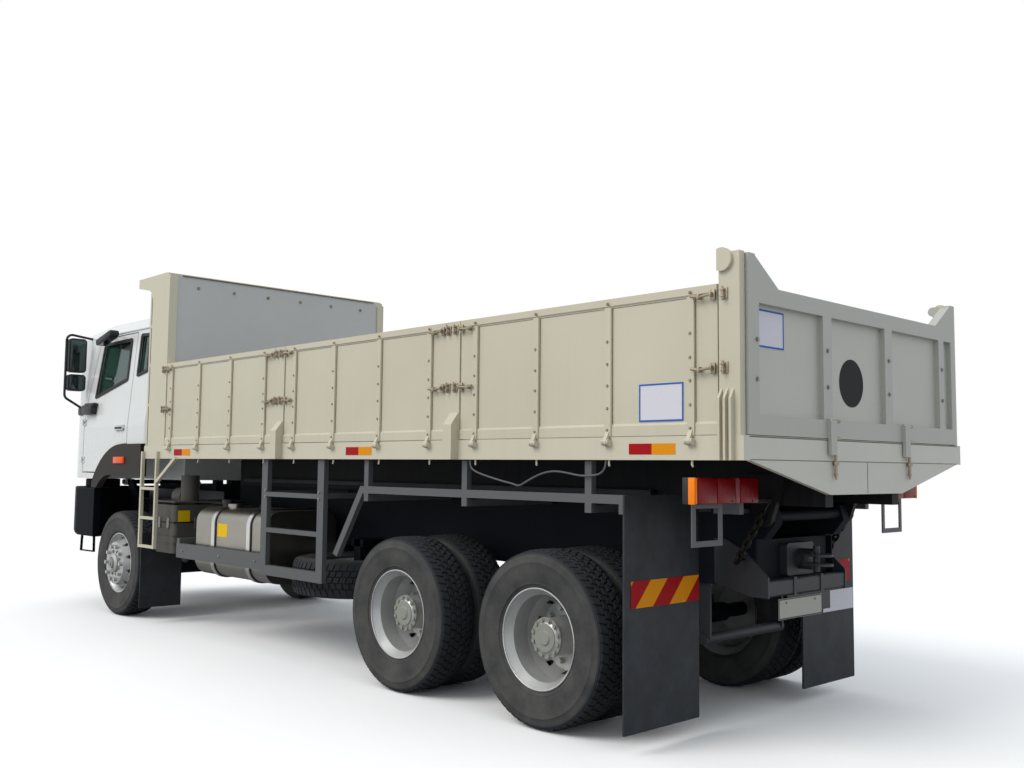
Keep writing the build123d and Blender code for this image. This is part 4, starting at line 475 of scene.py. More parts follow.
class TruckColours(bpy.types.PropertyGroup):
    """Colours of the paint and of the floor."""

    body: FloatVectorProperty(
        name="Body paint",
        description="Colour of the load body's panels",
        default=linear("#CBC4AE")[:3],
        subtype="COLOR",
    )
    cab: FloatVectorProperty(
        name="Cab paint", description="Colour of the cab", default=linear("#DDDEDB")[:3], subtype="COLOR"
    )
    background: FloatVectorProperty(
        name="Background",
        description="Colour of the floor as it is seen",
        default=(1.0, 1.0, 1.0),
        subtype="COLOR",
    )
    ground: FloatVectorProperty(
        name="Ground",
        description="Colour that the floor throws back",
        default=(0.33, 0.335, 0.35),
        subtype="COLOR",
    )


# ---------------------------------------------------------------- where things are
STRIPS = (0.164, 0.726, 1.292, 1.836)  # bolted strips on a dropside, from its start
STRIP_HALF = 0.022  # half the width of a strip
SECTIONS = {"rear": 0.149, "middle": 2.279, "front": 4.409}  # where each dropside starts
PANEL_LENGTH, PANELS_END = 1.992, 6.366
SKIN_LOW, SKIN_TOP = 1.77, 2.41
BOLT_ROWS = (1.735, 1.855, 1.98, 2.1, 2.225, 2.437)
LATCH_ROWS = (2.41, 2.035)
KEEPERS = (0.105, 2.175, 2.245, 4.305, 4.375, 6.40)
SIDE_REFLECTORS = ((0.416, 0.728), (3.079, 3.395), (5.832, 6.153))

# Axle, place along the truck, rows of tyres from the outside in, and the plural of its names
WHEELS = (
    ("front", 7.5, (1.034,), ""),
    ("rear", 1.46, (1.086, 0.751), "s"),
    ("forward", 2.812, (1.086, 0.751), "s"),
)
TYRE_RADIUS = 0.522
# Radius and width of the outlines that are turned, from the middle of the tyre outwards
TYRE_WALL = (
    (0.300, 0.094), (0.292, 0.104), (0.302, 0.117), (0.318, 0.124), (0.322, 0.131), (0.330, 0.131),
    (0.338, 0.134), (0.375, 0.142), (0.407, 0.145), (0.440, 0.144), (0.444, 0.146), (0.450, 0.146),
    (0.454, 0.143), (0.476, 0.140), (0.492, 0.136), (0.502, 0.130),
)  # fmt: skip
TYRE_LINER = ((0.470, 0.108), (0.400, 0.128), (0.330, 0.108))
TREAD_EDGE = 0.494  # radius where tread rubber gives way to the sidewall's
BLOCK_SHARE = 0.8  # of the pitch that a tread block fills
BLOCK_LEAN = 0.35  # skew of a tread block
SHOULDER = 0.09  # tread blocks further out than this drop at their outer edge
# Middle, width and turn of each row of tread blocks
TREAD_ROWS = (
    (0.0, 0.040, 0.0),
    (0.046, 0.038, 0.5),
    (-0.046, 0.038, 0.5),
    (0.099, 0.050, 0.15),
    (-0.099, 0.050, 0.15),
)
RIM_LIP = ((0.2985, 0.119), (0.2985, 0.1215), (0.2935, 0.1225), (0.2885, 0.1205), (0.2885, 0.119))
SPARE_RIM = (
    (0.296, 0.119), (0.300, 0.119), (0.291, 0.105), (0.284, 0.060), (0.284, -0.105),
    (0.300, -0.119), (0.294, -0.119), (0.277, -0.105), (0.277, 0.058), (0.285, 0.105),
)  # fmt: skip
# Front and rear hubs. Bolts: distance out, count, circle, size, finish.
# Steps of the cap: distances out of both ends, their radii, sides, finish.
HUBS = {
    "": (
        (0.159, 8, 0.118, 0.010, 2),
        ((0.183, 0.205, 0.052, 0.046, 32, 1), (0.203, 0.213, 0.022, 0.018, 24, 2)),
    ),
    "s": (
        (0.046, 12, 0.104, 0.012, 1),
        (
            (0.030, 0.046, 0.121, 0.121, 40, 1),
            (0.046, 0.060, 0.088, 0.080, 40, 1),
            (0.060, 0.068, 0.046, 0.038, 32, 1),
        ),
    ),
}

CABLE_DIAMETER = 0.012
CABLE_Y = 1.232
CABLE_ROUTE = (
    (2.046, 1.5718), (2.046, 1.534), (2.017, 1.505), (1.950, 1.484), (1.850, 1.462), (1.740, 1.440),
    (1.660, 1.428), (1.600, 1.413), (1.555, 1.433), (1.470, 1.471), (1.380, 1.499), (1.290, 1.507),
    (1.195, 1.496), (1.100, 1.481), (1.010, 1.484), (0.945, 1.494), (0.908, 1.534), (0.908, 1.5718),
)  # fmt: skip

# Outlines of the side windows, and blocks on each side of the cab: piece, finish, body, slot,
# then for each block its two corners and its rounding
DOOR_WINDOW = ((7.410, 2.365), (7.410, 2.808), (8.110, 2.800), (8.205, 2.205))
QUARTER_WINDOW = ((6.960, 2.430), (6.985, 2.825), (7.215, 2.835), (7.215, 2.390))
CAB_BLOCKS = (
    ("side_marker", "marker_lens", "cab", "lamp_red", ((7.25, 1.238, 1.522), (7.50, 1.262, 1.592), 0.012)),
    (
        "mirror_glass", "mirror", "cab", "pin_steel",
        ((8.4275, 1.222, 2.520), (8.4305, 1.378, 2.850), 0.001),
        ((8.4275, 1.222, 2.3175), (8.4305, 1.378, 2.4625), 0.001),
    ),
    ("mirror_foot", "trim_plastic", "cab", "black_plastic", ((8.47, 1.10, 2.040), (8.60, 1.215, 2.135), 0.02)),
    (
        "door_corner", "trim_plastic", "door", "black_plastic",
        ((8.12, 1.185, 2.040), (8.39, 1.262, 2.145), 0.022),
        ((8.10, 1.185, 2.125), (8.36, 1.245, 2.165), 0.018),
    ),
    (
        "bumper_filler", "bumper_abs", "chassis", "black_plastic",
        ((8.60, 0.70, 1.250), (8.79, 1.02, 1.352), 0.012),
    ),
    (
        "engine_cover", "trim_plastic", "chassis", "black_plastic",
        ((6.60, 0.484, 0.90), (8.30, 0.494, 1.255), 0.003),
    ),
)  # fmt: skip

# Tail lamps: outer and inner end, height of the middle, and the segments inwards with their finish
LAMP_OUTER, LAMP_INNER, LAMP_Z = 1.2475, 0.6690, 1.414
LAMP_CUTS = ((0.0, 0.022, 1), (0.024, 0.195, 0), (0.197, 0.36, 0), (0.362, 0.402, 2), (0.404, 0.578, 0))

# Which CAD nodes take each finish
NODE_FINISHES = {
    "battery_box": "box_plastic",
    "body_floor": "floor_paint",
    "body_rails": "rail_paint",
    "cab_fenders": "fender_plastic",
    "front_bumper": "bumper_abs",
    "dashboard": "dash_abs",
    "fuel_tank": "tank_aluminium",
    "head_lamps": "clear_lens",
    "headboard": "headboard_paint",
    "mud_flaps": "flap_rubber",
    "ram_rod": "chromed_rod",
    "tailgate": "gate_paint",
    "tow_frame": "tow_paint",
    "chains springs": "dark_steel",
    "grille mirrors": "trim_plastic",
    "body_posts hinge_lugs ladder": "cream_paint",
    "cab_shell door_left door_right": "cab_lacquer",
    "cab_glass door_glass_left door_glass_right": "glass",
    "mudguards side_guards tail_lamps": "slate_paint",
    # Underbody parts, their near-black paint carrying painted shade
    "chassis_frame engine_block front_axle rear_axles": "chassis_paint",
    "knuckle_left knuckle_right propshafts ram_barrel": "chassis_paint",
    "forward_rims_left front_rim_left rear_rims_left": "wheel_lacquer",
    "forward_rims_right front_rim_right rear_rims_right": "wheel_lacquer",
    **{f"dropside_{part}_{hand}": "cream_paint" for part, hand in product(SECTIONS, SIDES)},
}


# ---------------------------------------------------------------- pieces
class TRUCK_OT_finishes(bpy.types.Operator):
    """Give every CAD node the finish of what it is"""

    bl_idname = "truck.finishes"
    bl_label = "Finishes"

    def execute(self, context):
        make_finishes()
        for nodes, finish in NODE_FINISHES.items():
            for node in nodes.split():
                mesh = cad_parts[node].data
                mesh.materials.clear()
                mesh.materials.append(FINISHES[finish])
        return {"FINISHED"}


class TRUCK_OT_cable(bpy.types.Operator):
    """Loose cable that hangs under the left rave"""

    bl_idname = "truck.cable"
    bl_label = "Loose cable"

    def execute(self, context):
        curve = bpy.data.curves.new("loose_cable_line", "CURVE")
        curve.dimensions = "3D"
        spline = curve.splines.new("NURBS")
        spline.points.add(len(CABLE_ROUTE) - 1)
        for point, (x, z) in zip(spline.points, CABLE_ROUTE):
            point.co = (*at(x, CABLE_Y, z), 1.0)
        spline.order_u = 3
        spline.use_endpoint_u = True
        curve.bevel_depth = CABLE_DIAMETER / 2
        curve.bevel_resolution = 3
        curve.resolution_u = 8
        curve.use_fill_caps = True
        curve.materials.append(FINISHES["cable_jacket"])
        line = bpy.data.objects.new("loose_cable_line", curve)
        context.scene.collection.objects.link(line)
        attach(line, "bed")
        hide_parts("loose_cable")
        return {"FINISHED"}


def tyre(bm, place):
    """One tyre with its tread, made about local Y and put in its place."""
    sizes = bpy.context.scene.truck_sizes
    made = bmesh.new()
    floor = TYRE_RADIUS - sizes.tread_depth
    half = (*TYRE_WALL, (floor, 0.120), (floor + 0.002, 0.060), (floor + 0.003, 0.0))
    mirrored = [(r, -w) for r, w in (*reversed(half[:-1]), *reversed(TYRE_LINER))]
    turned(made, (*half, *mirrored, (0.488, 0.0), *TYRE_LINER), 96)
    for face in made.faces:
        middle = face.calc_center_median()
        face.material_index = 0 if math.hypot(middle.x, middle.z) > TREAD_EDGE else 1
    pitches = sizes.tread_pitches
    pitch = math.tau * TYRE_RADIUS / pitches
    depth = sizes.tread_depth + 0.004
    blocks = bmesh.new()
    for middle, width, shift in TREAD_ROWS:
        verts = bmesh.ops.create_cube(blocks, size=1.0)["verts"]
        bmesh.ops.scale(blocks, vec=(pitch * BLOCK_SHARE, width, depth), verts=verts)
        lean = Matrix.Identity(4)
        lean[0][1] = BLOCK_LEAN if middle >= 0 else -BLOCK_LEAN
        bmesh.ops.transform(blocks, matrix=lean, verts=verts)
        if abs(middle) > SHOULDER:
            # A shoulder block runs down onto the sidewall
            for vert in verts:
                if vert.co.y * middle > 0:
                    vert.co.z -= 0.010 if vert.co.z > 0 else 0.018
        bmesh.ops.translate(blocks, vec=(0, middle, TYRE_RADIUS - 0.0015 - depth / 2), verts=verts)
        turn = Matrix.Rotation(shift * math.tau / pitches, 3, "Y")
        bmesh.ops.rotate(blocks, cent=(0, 0, 0), matrix=turn, verts=verts)
    soften(blocks, [e for e in blocks.edges if all(v.co.z > TYRE_RADIUS - 0.012 for v in e.verts)], 0.003, 1)
    bmesh.ops.spin(
        blocks,
        geom=blocks.verts[:] + blocks.edges[:] + blocks.faces[:],
        cent=(0, 0, 0),
        axis=(0, 1, 0),
        angle=math.tau * (pitches - 1) / pitches,
        steps=pitches - 1,
        use_duplicate=True,
    )
    join(made, blocks)
    join(bm, made, place)


class TRUCK_OT_tyres(bpy.types.Operator):
    """Tyres with their tread, one piece to each wheel body"""

    bl_idname = "truck.tyres"
    bl_label = "Tyres"

    def execute(self, context):
        for (axle, x, rows, plural), (hand, side) in product(WHEELS, SIDES.items()):
            bm = bmesh.new()
            for y in rows:
                tyre(bm, Matrix.Translation(at(x, side * y, TYRE_RADIUS)))
            body = f"{axle}_wheel{plural}_{hand}"
            made = piece(f"tyre_{axle}_{hand}", bm, "tread_rubber sidewall_rubber", body)
            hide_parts(f"{axle}_tyre{plural}_{hand}")
        return {"FINISHED"}


class TRUCK_OT_hubs(bpy.types.Operator):
    """Hub caps with their bolts, and the bright lips of the rims"""

    bl_idname = "truck.hubs"
    bl_label = "Hubs"

    def execute(self, context):
        for (axle, x, rows, plural), (hand, side) in product(WHEELS, SIDES.items()):
            bm = bmesh.new()
            turned(bm, [(r, side * w) for r, w in RIM_LIP], 72)
            (face, count, radius, size, finish), steps = HUBS[plural]
            for along, up in circle(count, radius, 0.5):
                bolt(bm, Vector((along, side * face, up)), (0, side, 0), size, finish)
            for start, end, foot, tip, sides, finish in steps:
                bar(bm, (0, side * start, 0), (0, side * end, 0), foot, sides, finish, tip)
            bmesh.ops.translate(bm, vec=at(x, side * rows[0], TYRE_RADIUS), verts=bm.verts)
            body = f"{axle}_wheel{plural}_{hand}"
            piece(f"hub_{axle}_{hand}", bm, "rim_lip hub_paint zinc_steel", body)
        return {"FINISHED"}


class TRUCK_OT_spare_wheel(bpy.types.Operator):
    """Spare wheel lying flat in its hanger"""

    bl_idname = "truck.spare_wheel"
    bl_label = "Spare wheel"

    def execute(self, context):
        centre = at(4.1, 0.62, 0.65)
        lying = Matrix.Translation(centre) @ Matrix.Rotation(math.pi / 2, 4, "X")
        bm = bmesh.new()
        tyre(bm, lying)
        spun = bmesh.new()
        turned(spun, SPARE_RIM, 64)
        join(bm, spun, lying)
        bar(bm, centre, centre + Vector((0, 0, 0.02)), 0.28, 48, 2)
        for x, y in circle(10, 0.1675):
            bar(bm, centre + Vector((x, y, -0.004)), centre + Vector((x, y, 0.024)), 0.015, 12, 3)
        for face in bm.faces:
            middle = face.calc_center_median() - centre
            if math.hypot(middle.x, middle.y) < RIM_LIP[-1][0] and face.material_index < 2:
                face.material_index = 2
        # Hanger down from the chassis rail
        block(bm, at(4.055, 0.485, 0.67), at(4.145, 0.635, 0.93), 0.004, 4)
        block(bm, at(4.02, 0.4253, 0.87), at(4.18, 0.635, 0.93), 0.004, 4)
        finishes = "tread_rubber sidewall_rubber wheel_lacquer dark_steel chassis_paint"
        made = piece("spare_wheel_dressed", bm, finishes, "chassis")
        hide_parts("spare_wheel")
        return {"FINISHED"}


class TRUCK_OT_dropside_fittings(bpy.types.Operator):
    """Bolt rows, thin brown lines and latch levers on the dropsides"""

    bl_idname = "truck.dropside_fittings"
    bl_label = "Dropside fittings"

    def execute(self, context):
        sizes = context.scene.truck_sizes
        head, seam = sizes.bolt_head, sizes.seam_width
        for (part, start), (hand, side) in product(SECTIONS.items(), SIDES.items()):
            here = on(side)
            section, body = f"{part}_{hand}", f"dropside_{part}_{hand}"
            bays = [start + strip for strip in STRIPS]
            bm = bmesh.new()
            for x, z in product(bays, BOLT_ROWS):
                ends = here(x + 0.002, STRIP_Y - 0.001, z), here(x + 0.002, STRIP_Y + 0.006, z)
                bar(bm, *ends, head, 10, 0, head * 0.7)
            piece(f"bolts_{section}", bm, "rusty_steel", body)
            # Thin brown lines beside each strip and under the top edge
            bm = bmesh.new()
            under, proud = SKIN_Y - 0.001, SKIN_Y + 0.002
            for x in bays:
                edge = x - STRIP_HALF
                block(bm, here(edge - seam, under, SKIN_LOW), here(edge, proud, SKIN_TOP + 0.002))
            for x0, x1 in zip(bays, bays[1:]):
                block(bm, here(x0 + STRIP_HALF, under, SKIN_TOP), here(x1 - STRIP_HALF, proud, SKIN_TOP + seam))
            piece(f"seams_{section}", bm, "sealant", body)
            # Latch bars and their handles at both ends of the panel
            bm = bmesh.new()
            end = min(start + PANEL_LENGTH, PANELS_END) - 0.006
            for z, (x, inward) in product(LATCH_ROWS, ((start + 0.006, 1), (end, -1))):
                foot = here(x + inward * 0.018, RAVE_Y, z)
                lug(bm, foot, 0.014, side * 0.012, 0.028, 0.003)
                lug(bm, foot, 0.005, side * 0.034, 0.012, 0.002)
                elbow = foot + Vector((inward * 0.075, side * 0.022, -0.006))
                bar(bm, foot + Vector((0, side * 0.026, 0)), elbow, 0.007, 10)
                bar(bm, elbow, elbow + Vector((inward * 0.05, side * 0.004, 0.008)), 0.0085, 10)
                lug(bm, here(x + inward * 0.098, RAVE_Y, z - 0.004), 0.008, side * 0.03, 0.014, 0.002)
            piece(f"latches_{section}", bm, "latch_steel", body)
        return {"FINISHED"}


class TRUCK_OT_post_fittings(bpy.types.Operator):
    """Latch keepers on the posts, and hooks under the raves"""

    bl_idname = "truck.post_fittings"
    bl_label = "Post fittings"

    def execute(self, context):
        bm = bmesh.new()
        for side, x, z in product(SIDES.values(), KEEPERS, LATCH_ROWS):
            foot = at(x, side * RAVE_Y, z)
            lug(bm, foot, 0.02, side * 0.008, 0.03, 0.003)
            for up in (-0.016, 0.016):
                lug(bm, foot + Vector((0, 0, up)), 0.009, side * 0.032, 0.004, 0.001)
            pin = foot + Vector((0, side * 0.022, 0))
            bar(bm, pin - Vector((0, 0, 0.034)), pin + Vector((0, 0, 0.034)), 0.006, 10)
        piece("latch_keepers", bm, "latch_steel", "bed")
        bm = bmesh.new()
        for side, start, strip in product(SIDES.values(), SECTIONS.values(), STRIPS):
            top = at(start + strip + 0.01, side * 1.232, 1.573)
            low = top - Vector((0, 0, 0.026))
            bar(bm, top, low, 0.006, 8)
            bar(bm, low, low + Vector((-0.012, side * 0.012, -0.006)), 0.006, 8)
        piece("rope_hooks", bm, "cream_paint", "bed")
        return {"FINISHED"}


def on_side(x0, x1, z0, z1, y):
    """The four corners of an upright patch at one Y."""
    return [at(x0, y, z0), at(x1, y, z0), at(x1, y, z1), at(x0, y, z1)]


def on_back(y0, y1, z0, z1, x):
    """The four corners of an upright patch at one X."""
    return [at(x, y0, z0), at(x, y1, z0), at(x, y1, z1), at(x, y0, z1)]


class TRUCK_OT_signs(bpy.types.Operator):
    """Reflectors, the dark disc, and the signs, which are left blank"""

    bl_idname = "truck.signs"
    bl_label = "Signs and reflectors"

    def execute(self, context):
        border = context.scene.truck_sizes.sign_border
        for hand, side in SIDES.items():
            here = on(side)
            bm = bmesh.new()
            for x0, x1 in SIDE_REFLECTORS:
                middle = (x0 + x1) / 2
                for a, b, finish in ((middle, x1, 0), (x0, middle, 1)):
                    block(bm, here(a, RAVE_Y - 0.0005, 1.601), here(b, RAVE_Y + 0.0015, 1.659), 0.0, finish)
            piece(f"side_reflectors_{hand}", bm, "red_film amber_film", "bed")
            bm = bmesh.new()
            block(bm, here(0.368, 1.2425, 1.775), here(0.662, 1.2445, 1.977))
            ring(bm, on_side(0.368, 0.662, 1.775, 1.977, side * 1.2452), border, 0.0006, finish=1)
            piece(f"side_sign_{hand}", bm, "white_film blue_film", f"dropside_rear_{hand}")
        bm = bmesh.new()
        block(bm, at(0.0325, 0.825, 2.151), at(0.0345, 1.098, 2.346))
        ring(bm, on_back(0.825, 1.098, 2.151, 2.346, 0.0318), border, 0.0006, finish=1)
        piece("gate_sign", bm, "white_film blue_film", "tailgate")
        bm = bmesh.new()
        bar(bm, at(0.0345, 0.115, 2.022), at(0.0325, 0.115, 2.022), 0.137, 64)
        piece("gate_disc", bm, "board_black", "tailgate")
        return {"FINISHED"}


class TRUCK_OT_gate_fittings(bpy.types.Operator):
    """Bolts, lock links and seams on the tailgate and the sill"""

    bl_idname = "truck.gate_fittings"
    bl_label = "Tailgate fittings"

    def execute(self, context):
        bm = bmesh.new()
        for y, z in product((1.125, 0.434, -0.276, -1.0), (1.98, 2.18)):
            bolt(bm, at(-0.0005, y, z), REARWARD, 0.009)
        piece("gate_bolts", bm, "zinc_steel", "tailgate")
        bm = bmesh.new()
        for y in (0.389, -0.488):
            for z in (1.795, 1.70):
                bar(bm, at(-0.014, y - 0.044, z), at(-0.014, y + 0.044, z), 0.009, 12)
            # Link, nut and pointed end of the screw at the lock's foot
            for top, low, radius, sides, tip in (
                (1.615, 1.50, 0.0085, 10, 0.0085),
                (1.575, 1.555, 0.017, 6, 0.017),
                (1.51, 1.475, 0.012, 10, 0.004),
            ):
                bar(bm, at(-0.016, y, top), at(-0.016, y, low), radius, sides, 0, tip)
        piece("gate_lock_links", bm, "latch_steel", "tailgate")
        seams = (
            ((-0.0015, 0.005, 1.40), (0.001, 0.009, 1.57)),
            ((-0.0015, -1.19, 1.574), (0.001, 1.19, 1.578)),
        )
        boxes("sill_seams", "sealant", "bed", seams)
        return {"FINISHED"}


class TRUCK_OT_headboard_fittings(bpy.types.Operator):
    """Bolts, clips and a sealant bead along the headboard"""

    bl_idname = "truck.headboard_fittings"
    bl_label = "Headboard fittings"

    def execute(self, context):
        bm = bmesh.new()
        for n in range(6):
            y = -0.95 + n * 0.38
            bolt(bm, at(6.3795, y, 3.22), REARWARD, 0.011)
            block(bm, at(6.374, y - 0.016, 3.324), at(6.41, y + 0.016, 3.334), 0.002, 2)
        bar(bm, at(6.372, -1.12, 3.322), at(6.372, 1.12, 3.322), 0.006, 8, 1)
        piece("headboard_fittings", bm, "rusty_steel sealant cream_paint", "bed")
        return {"FINISHED"}


def cab_side_y(z):
    """How far the cab's side stands from the middle at a height."""
    return CAB_Y - max(0.0, z - WAIST_Z) * CAB_LEAN


def window_frame(bm, outline, side, width):
    """Rubber frame round a side window, lying on the leaning side."""
    points = [at(x, side * (cab_side_y(z) + 0.002), z) for x, z in outline]
    ring(bm, points[::side], width, -0.008, 0.03)


class TRUCK_OT_cab_trim(bpy.types.Operator):
    """Window rubbers, handles, drip rails, marker lamps, mirrors and dark covers at the cab's sides"""

    bl_idname = "truck.cab_trim"
    bl_label = "Cab trim"

    def execute(self, context):
        for hand, side in SIDES.items():
            here = on(side)
            door = f"door_{hand}"
            bm = bmesh.new()
            window_frame(bm, DOOR_WINDOW, side, 0.034)
            piece(f"door_rubber_{hand}", bm, "seal_rubber", door)
            bm = bmesh.new()
            window_frame(bm, QUARTER_WINDOW, side, 0.03)
            piece(f"quarter_rubber_{hand}", bm, "seal_rubber", "cab")
            # Handle in its dish
            bm = bmesh.new()
            block(bm, here(7.375, CAB_Y - 0.004, 1.858), here(7.565, CAB_Y + 0.004, 1.912), 0.004)
            block(bm, here(7.385, CAB_Y + 0.012, 1.872), here(7.555, CAB_Y + 0.030, 1.896), 0.007)
            for x in (7.395, 7.53):
                block(bm, here(x, CAB_Y, 1.874), here(x + 0.016, CAB_Y + 0.02, 1.894), 0.002)
            bar(bm, here(7.585, CAB_Y, 1.885), here(7.585, CAB_Y + 0.006, 1.885), 0.012, 16, 1)
            piece(f"door_handle_{hand}", bm, "trim_plastic zinc_steel", door)
            y = cab_side_y(2.885) + 0.001
            rail = (((6.95, y - 0.004, 2.879), (8.30, y + 0.012, 2.893), 0.003),)
            boxes(f"drip_rail_{hand}", "cab_lacquer", "cab", rail, here)
            # Kerb mirror on its arm over the door window
            bm = bmesh.new()
            y = cab_side_y(2.83)
            bar(bm, here(7.92, y - 0.004, 2.845), here(7.86, y + 0.06, 2.875), 0.012, 12)
            bar(bm, here(7.86, y + 0.06, 2.875), here(7.80, y + 0.11, 2.86), 0.012, 12)
            shell = bmesh.new()
            block(shell, (-0.20, -0.055, -0.034), (0.18, 0.055, 0.034), 0.024)
            block(shell, (-0.17, -0.042, -0.038), (0.135, 0.042, -0.033), 0.001, 1)
            join(bm, shell, Matrix.Translation(here(7.80, y + 0.12, 2.825)) @ Matrix.Rotation(0.22, 4, "Y"))
            piece(f"kerb_mirror_{hand}", bm, "trim_plastic mirror", door)
            for name, finish, body, slot, *blocks in CAB_BLOCKS:
                boxes(f"{name}_{hand}", finish, door if body == "door" else body, blocks, here)
        return {"FINISHED"}


class TRUCK_OT_cab_front(bpy.types.Operator):
    """Wipers, grille slats, and the bumper's lamp frames and number recess"""

    bl_idname = "truck.cab_front"
    bl_label = "Cab front"

    def execute(self, context):
        bm = bmesh.new()
        for side in SIDES.values():
            # Wiper: arm and blade, parked low on the glass
            foot = at(9.098, side * 0.36 - 0.34, 2.165)
            elbow = at(9.085, side * 0.36 + 0.12, 2.26)
            bar(bm, foot, elbow, 0.009, 10)
            bar(bm, foot - Vector((0.012, 0, 0)), foot + Vector((0.006, 0, 0)), 0.022, 16)
            block(bm, elbow + Vector((-0.012, -0.30, -0.012)), elbow + Vector((-0.002, 0.28, 0.002)), 0.002)
        piece("wipers", bm, "trim_plastic", "cab")
        slats = [((9.110, -0.73, z), (9.122, 0.73, z + 0.026), 0.004) for z in (1.47, 1.528, 1.586, 1.644)]
        boxes("grille_slats", "trim_plastic", "cab", slats)
        bm = bmesh.new()
        for side in SIDES.values():
            # Frame round each head lamp, with its two bowls and its turn lamp
            here = on(side)
            ring(bm, on_back(*sorted((side * 0.545, side * 0.895)), 0.925, 1.095, 9.1705), 0.014, 0.006)
            for z in (1.055, 0.965):
                bar(bm, here(9.160, 0.66, z), here(9.1805, 0.66, z), 0.030, 24, 1)
            block(bm, here(9.160, 0.775, 0.945), here(9.1800, 0.865, 1.075), 0.003, 2)
        block(bm, at(9.160, -0.30, 0.80), at(9.1665, 0.30, 0.925), 0.003)
        piece("bumper_trim", bm, "trim_plastic clear_lens marker_lens", "chassis")
        return {"FINISHED"}


def cushion(bm, low, high, crown):
    """A stuffed pad: a box whose faces belly out and whose corners pull in."""
    low, high = Vector(low), Vector(high)
    made = bmesh.new()
    bmesh.ops.create_cube(made, size=2.0)
    bmesh.ops.subdivide_edges(made, edges=made.edges[:], cuts=9, use_grid_fill=True)
    for vert in made.verts:
        x, y, z = (abs(c) ** 6 for c in vert.co)
        vert.co *= 1 - 0.16 * (x * y + y * z + x * z)
    bmesh.ops.smooth_vert(made, verts=made.verts, factor=0.5, use_axis_x=True, use_axis_y=True, use_axis_z=True)
    for vert in made.verts:
        x, y, z = vert.co
        vert.co.z += crown * math.copysign(max(0.0, 1 - x * x) * max(0.0, 1 - y * y), z) * abs(z)
    bmesh.ops.scale(made, vec=(high - low) / 2 * 0.96, verts=made.verts)
    join(bm, made, Matrix.Translation((low + high) / 2))


class TRUCK_OT_seats(bpy.types.Operator):
    """Two suspension seats with stuffed cushions on their bases"""

    bl_idname = "truck.seats"
    bl_label = "Seats"

    def execute(self, context):
        for hand, side in SIDES.items():
            y = side * 0.47
            bm = bmesh.new()
            cushion(bm, at(7.40, y - 0.235, 1.86), at(7.80, y + 0.235, 1.985), 0.10)
            back = bmesh.new()
            cushion(back, (-0.055, -0.235, -0.30), (0.055, 0.235, 0.30), 0.0)
            cushion(back, (-0.045, -0.14, 0.31), (0.045, 0.14, 0.42), 0.0)
            join(bm, back, Matrix.Translation(at(7.335, y, 2.19)) @ Matrix.Rotation(-0.12, 4, "Y"))
            made = piece(f"seat_cushions_{hand}", bm, "seat_cloth", "cab", 60.0)
            base = (
                ((7.36, y - 0.20, 1.41), (7.66, y + 0.20, 1.52), 0.02),
                ((7.42, y - 0.14, 1.52), (7.62, y + 0.14, 1.80), 0.03),
                ((7.34, y - 0.22, 1.79), (7.70, y + 0.22, 1.862), 0.02),
            )
            made = boxes(f"seat_base_{hand}", "trim_plastic", "cab", base)
            if hand == "left":
                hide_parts("seats")
        return {"FINISHED"}


class TRUCK_OT_rear_lamps(bpy.types.Operator):
    """Tail lamp lenses in their segments, and the blank number plate"""

    bl_idname = "truck.rear_lamps"
    bl_label = "Rear lamps"

    def execute(self, context):
        half = context.scene.truck_sizes.lamp_height / 2
        low, high = LAMP_Z - half, LAMP_Z + half
        for hand, side in SIDES.items():
            here = on(side)
            bm = bmesh.new()
            # The amber end wraps round onto the side, with the dark housing before it
            for back, front, edge, finish in ((0.296, 0.338, 0.004, 1), (0.338, 0.374, 0.002, 3)):
                corner = here(front, LAMP_OUTER + 0.002, high + 0.001)
                block(bm, here(back, LAMP_OUTER - 0.004, low - 0.001), corner, edge, finish)
            for start, end, finish in LAMP_CUTS:
                a, b = LAMP_OUTER - start, LAMP_OUTER - end
                block(bm, here(0.292, a, low), here(0.345, b, high), 0.009, finish)
            housing = here(0.30, LAMP_OUTER + 0.001, low + 0.004), here(0.374, LAMP_INNER, high - 0.004)
            block(bm, *housing, 0.004, 3)
            for inward in (0.045, 0.33, 0.52):
                y, z = LAMP_OUTER - inward, low + 0.012
                bar(bm, here(0.2925, y, z), here(0.290, y, z), 0.006, 10, 3)
            finishes = "red_lens amber_lens pale_lens trim_plastic"
            piece(f"lamp_lenses_{hand}", bm, finishes, "chassis")
        bm = bmesh.new()
        block(bm, at(0.3775, -0.133, 0.672), at(0.3785, 0.347, 0.790))
        ring(bm, on_back(-0.131, 0.345, 0.674, 0.788, 0.377), 0.006, 0.0008, finish=1)
        for y in (-0.05, 0.265):
            bolt(bm, at(0.3775, y, 0.765), REARWARD, 0.006, 2)
        piece("number_plate_blank", bm, "plate_alloy trim_plastic zinc_steel", "chassis")
        return {"FINISHED"}


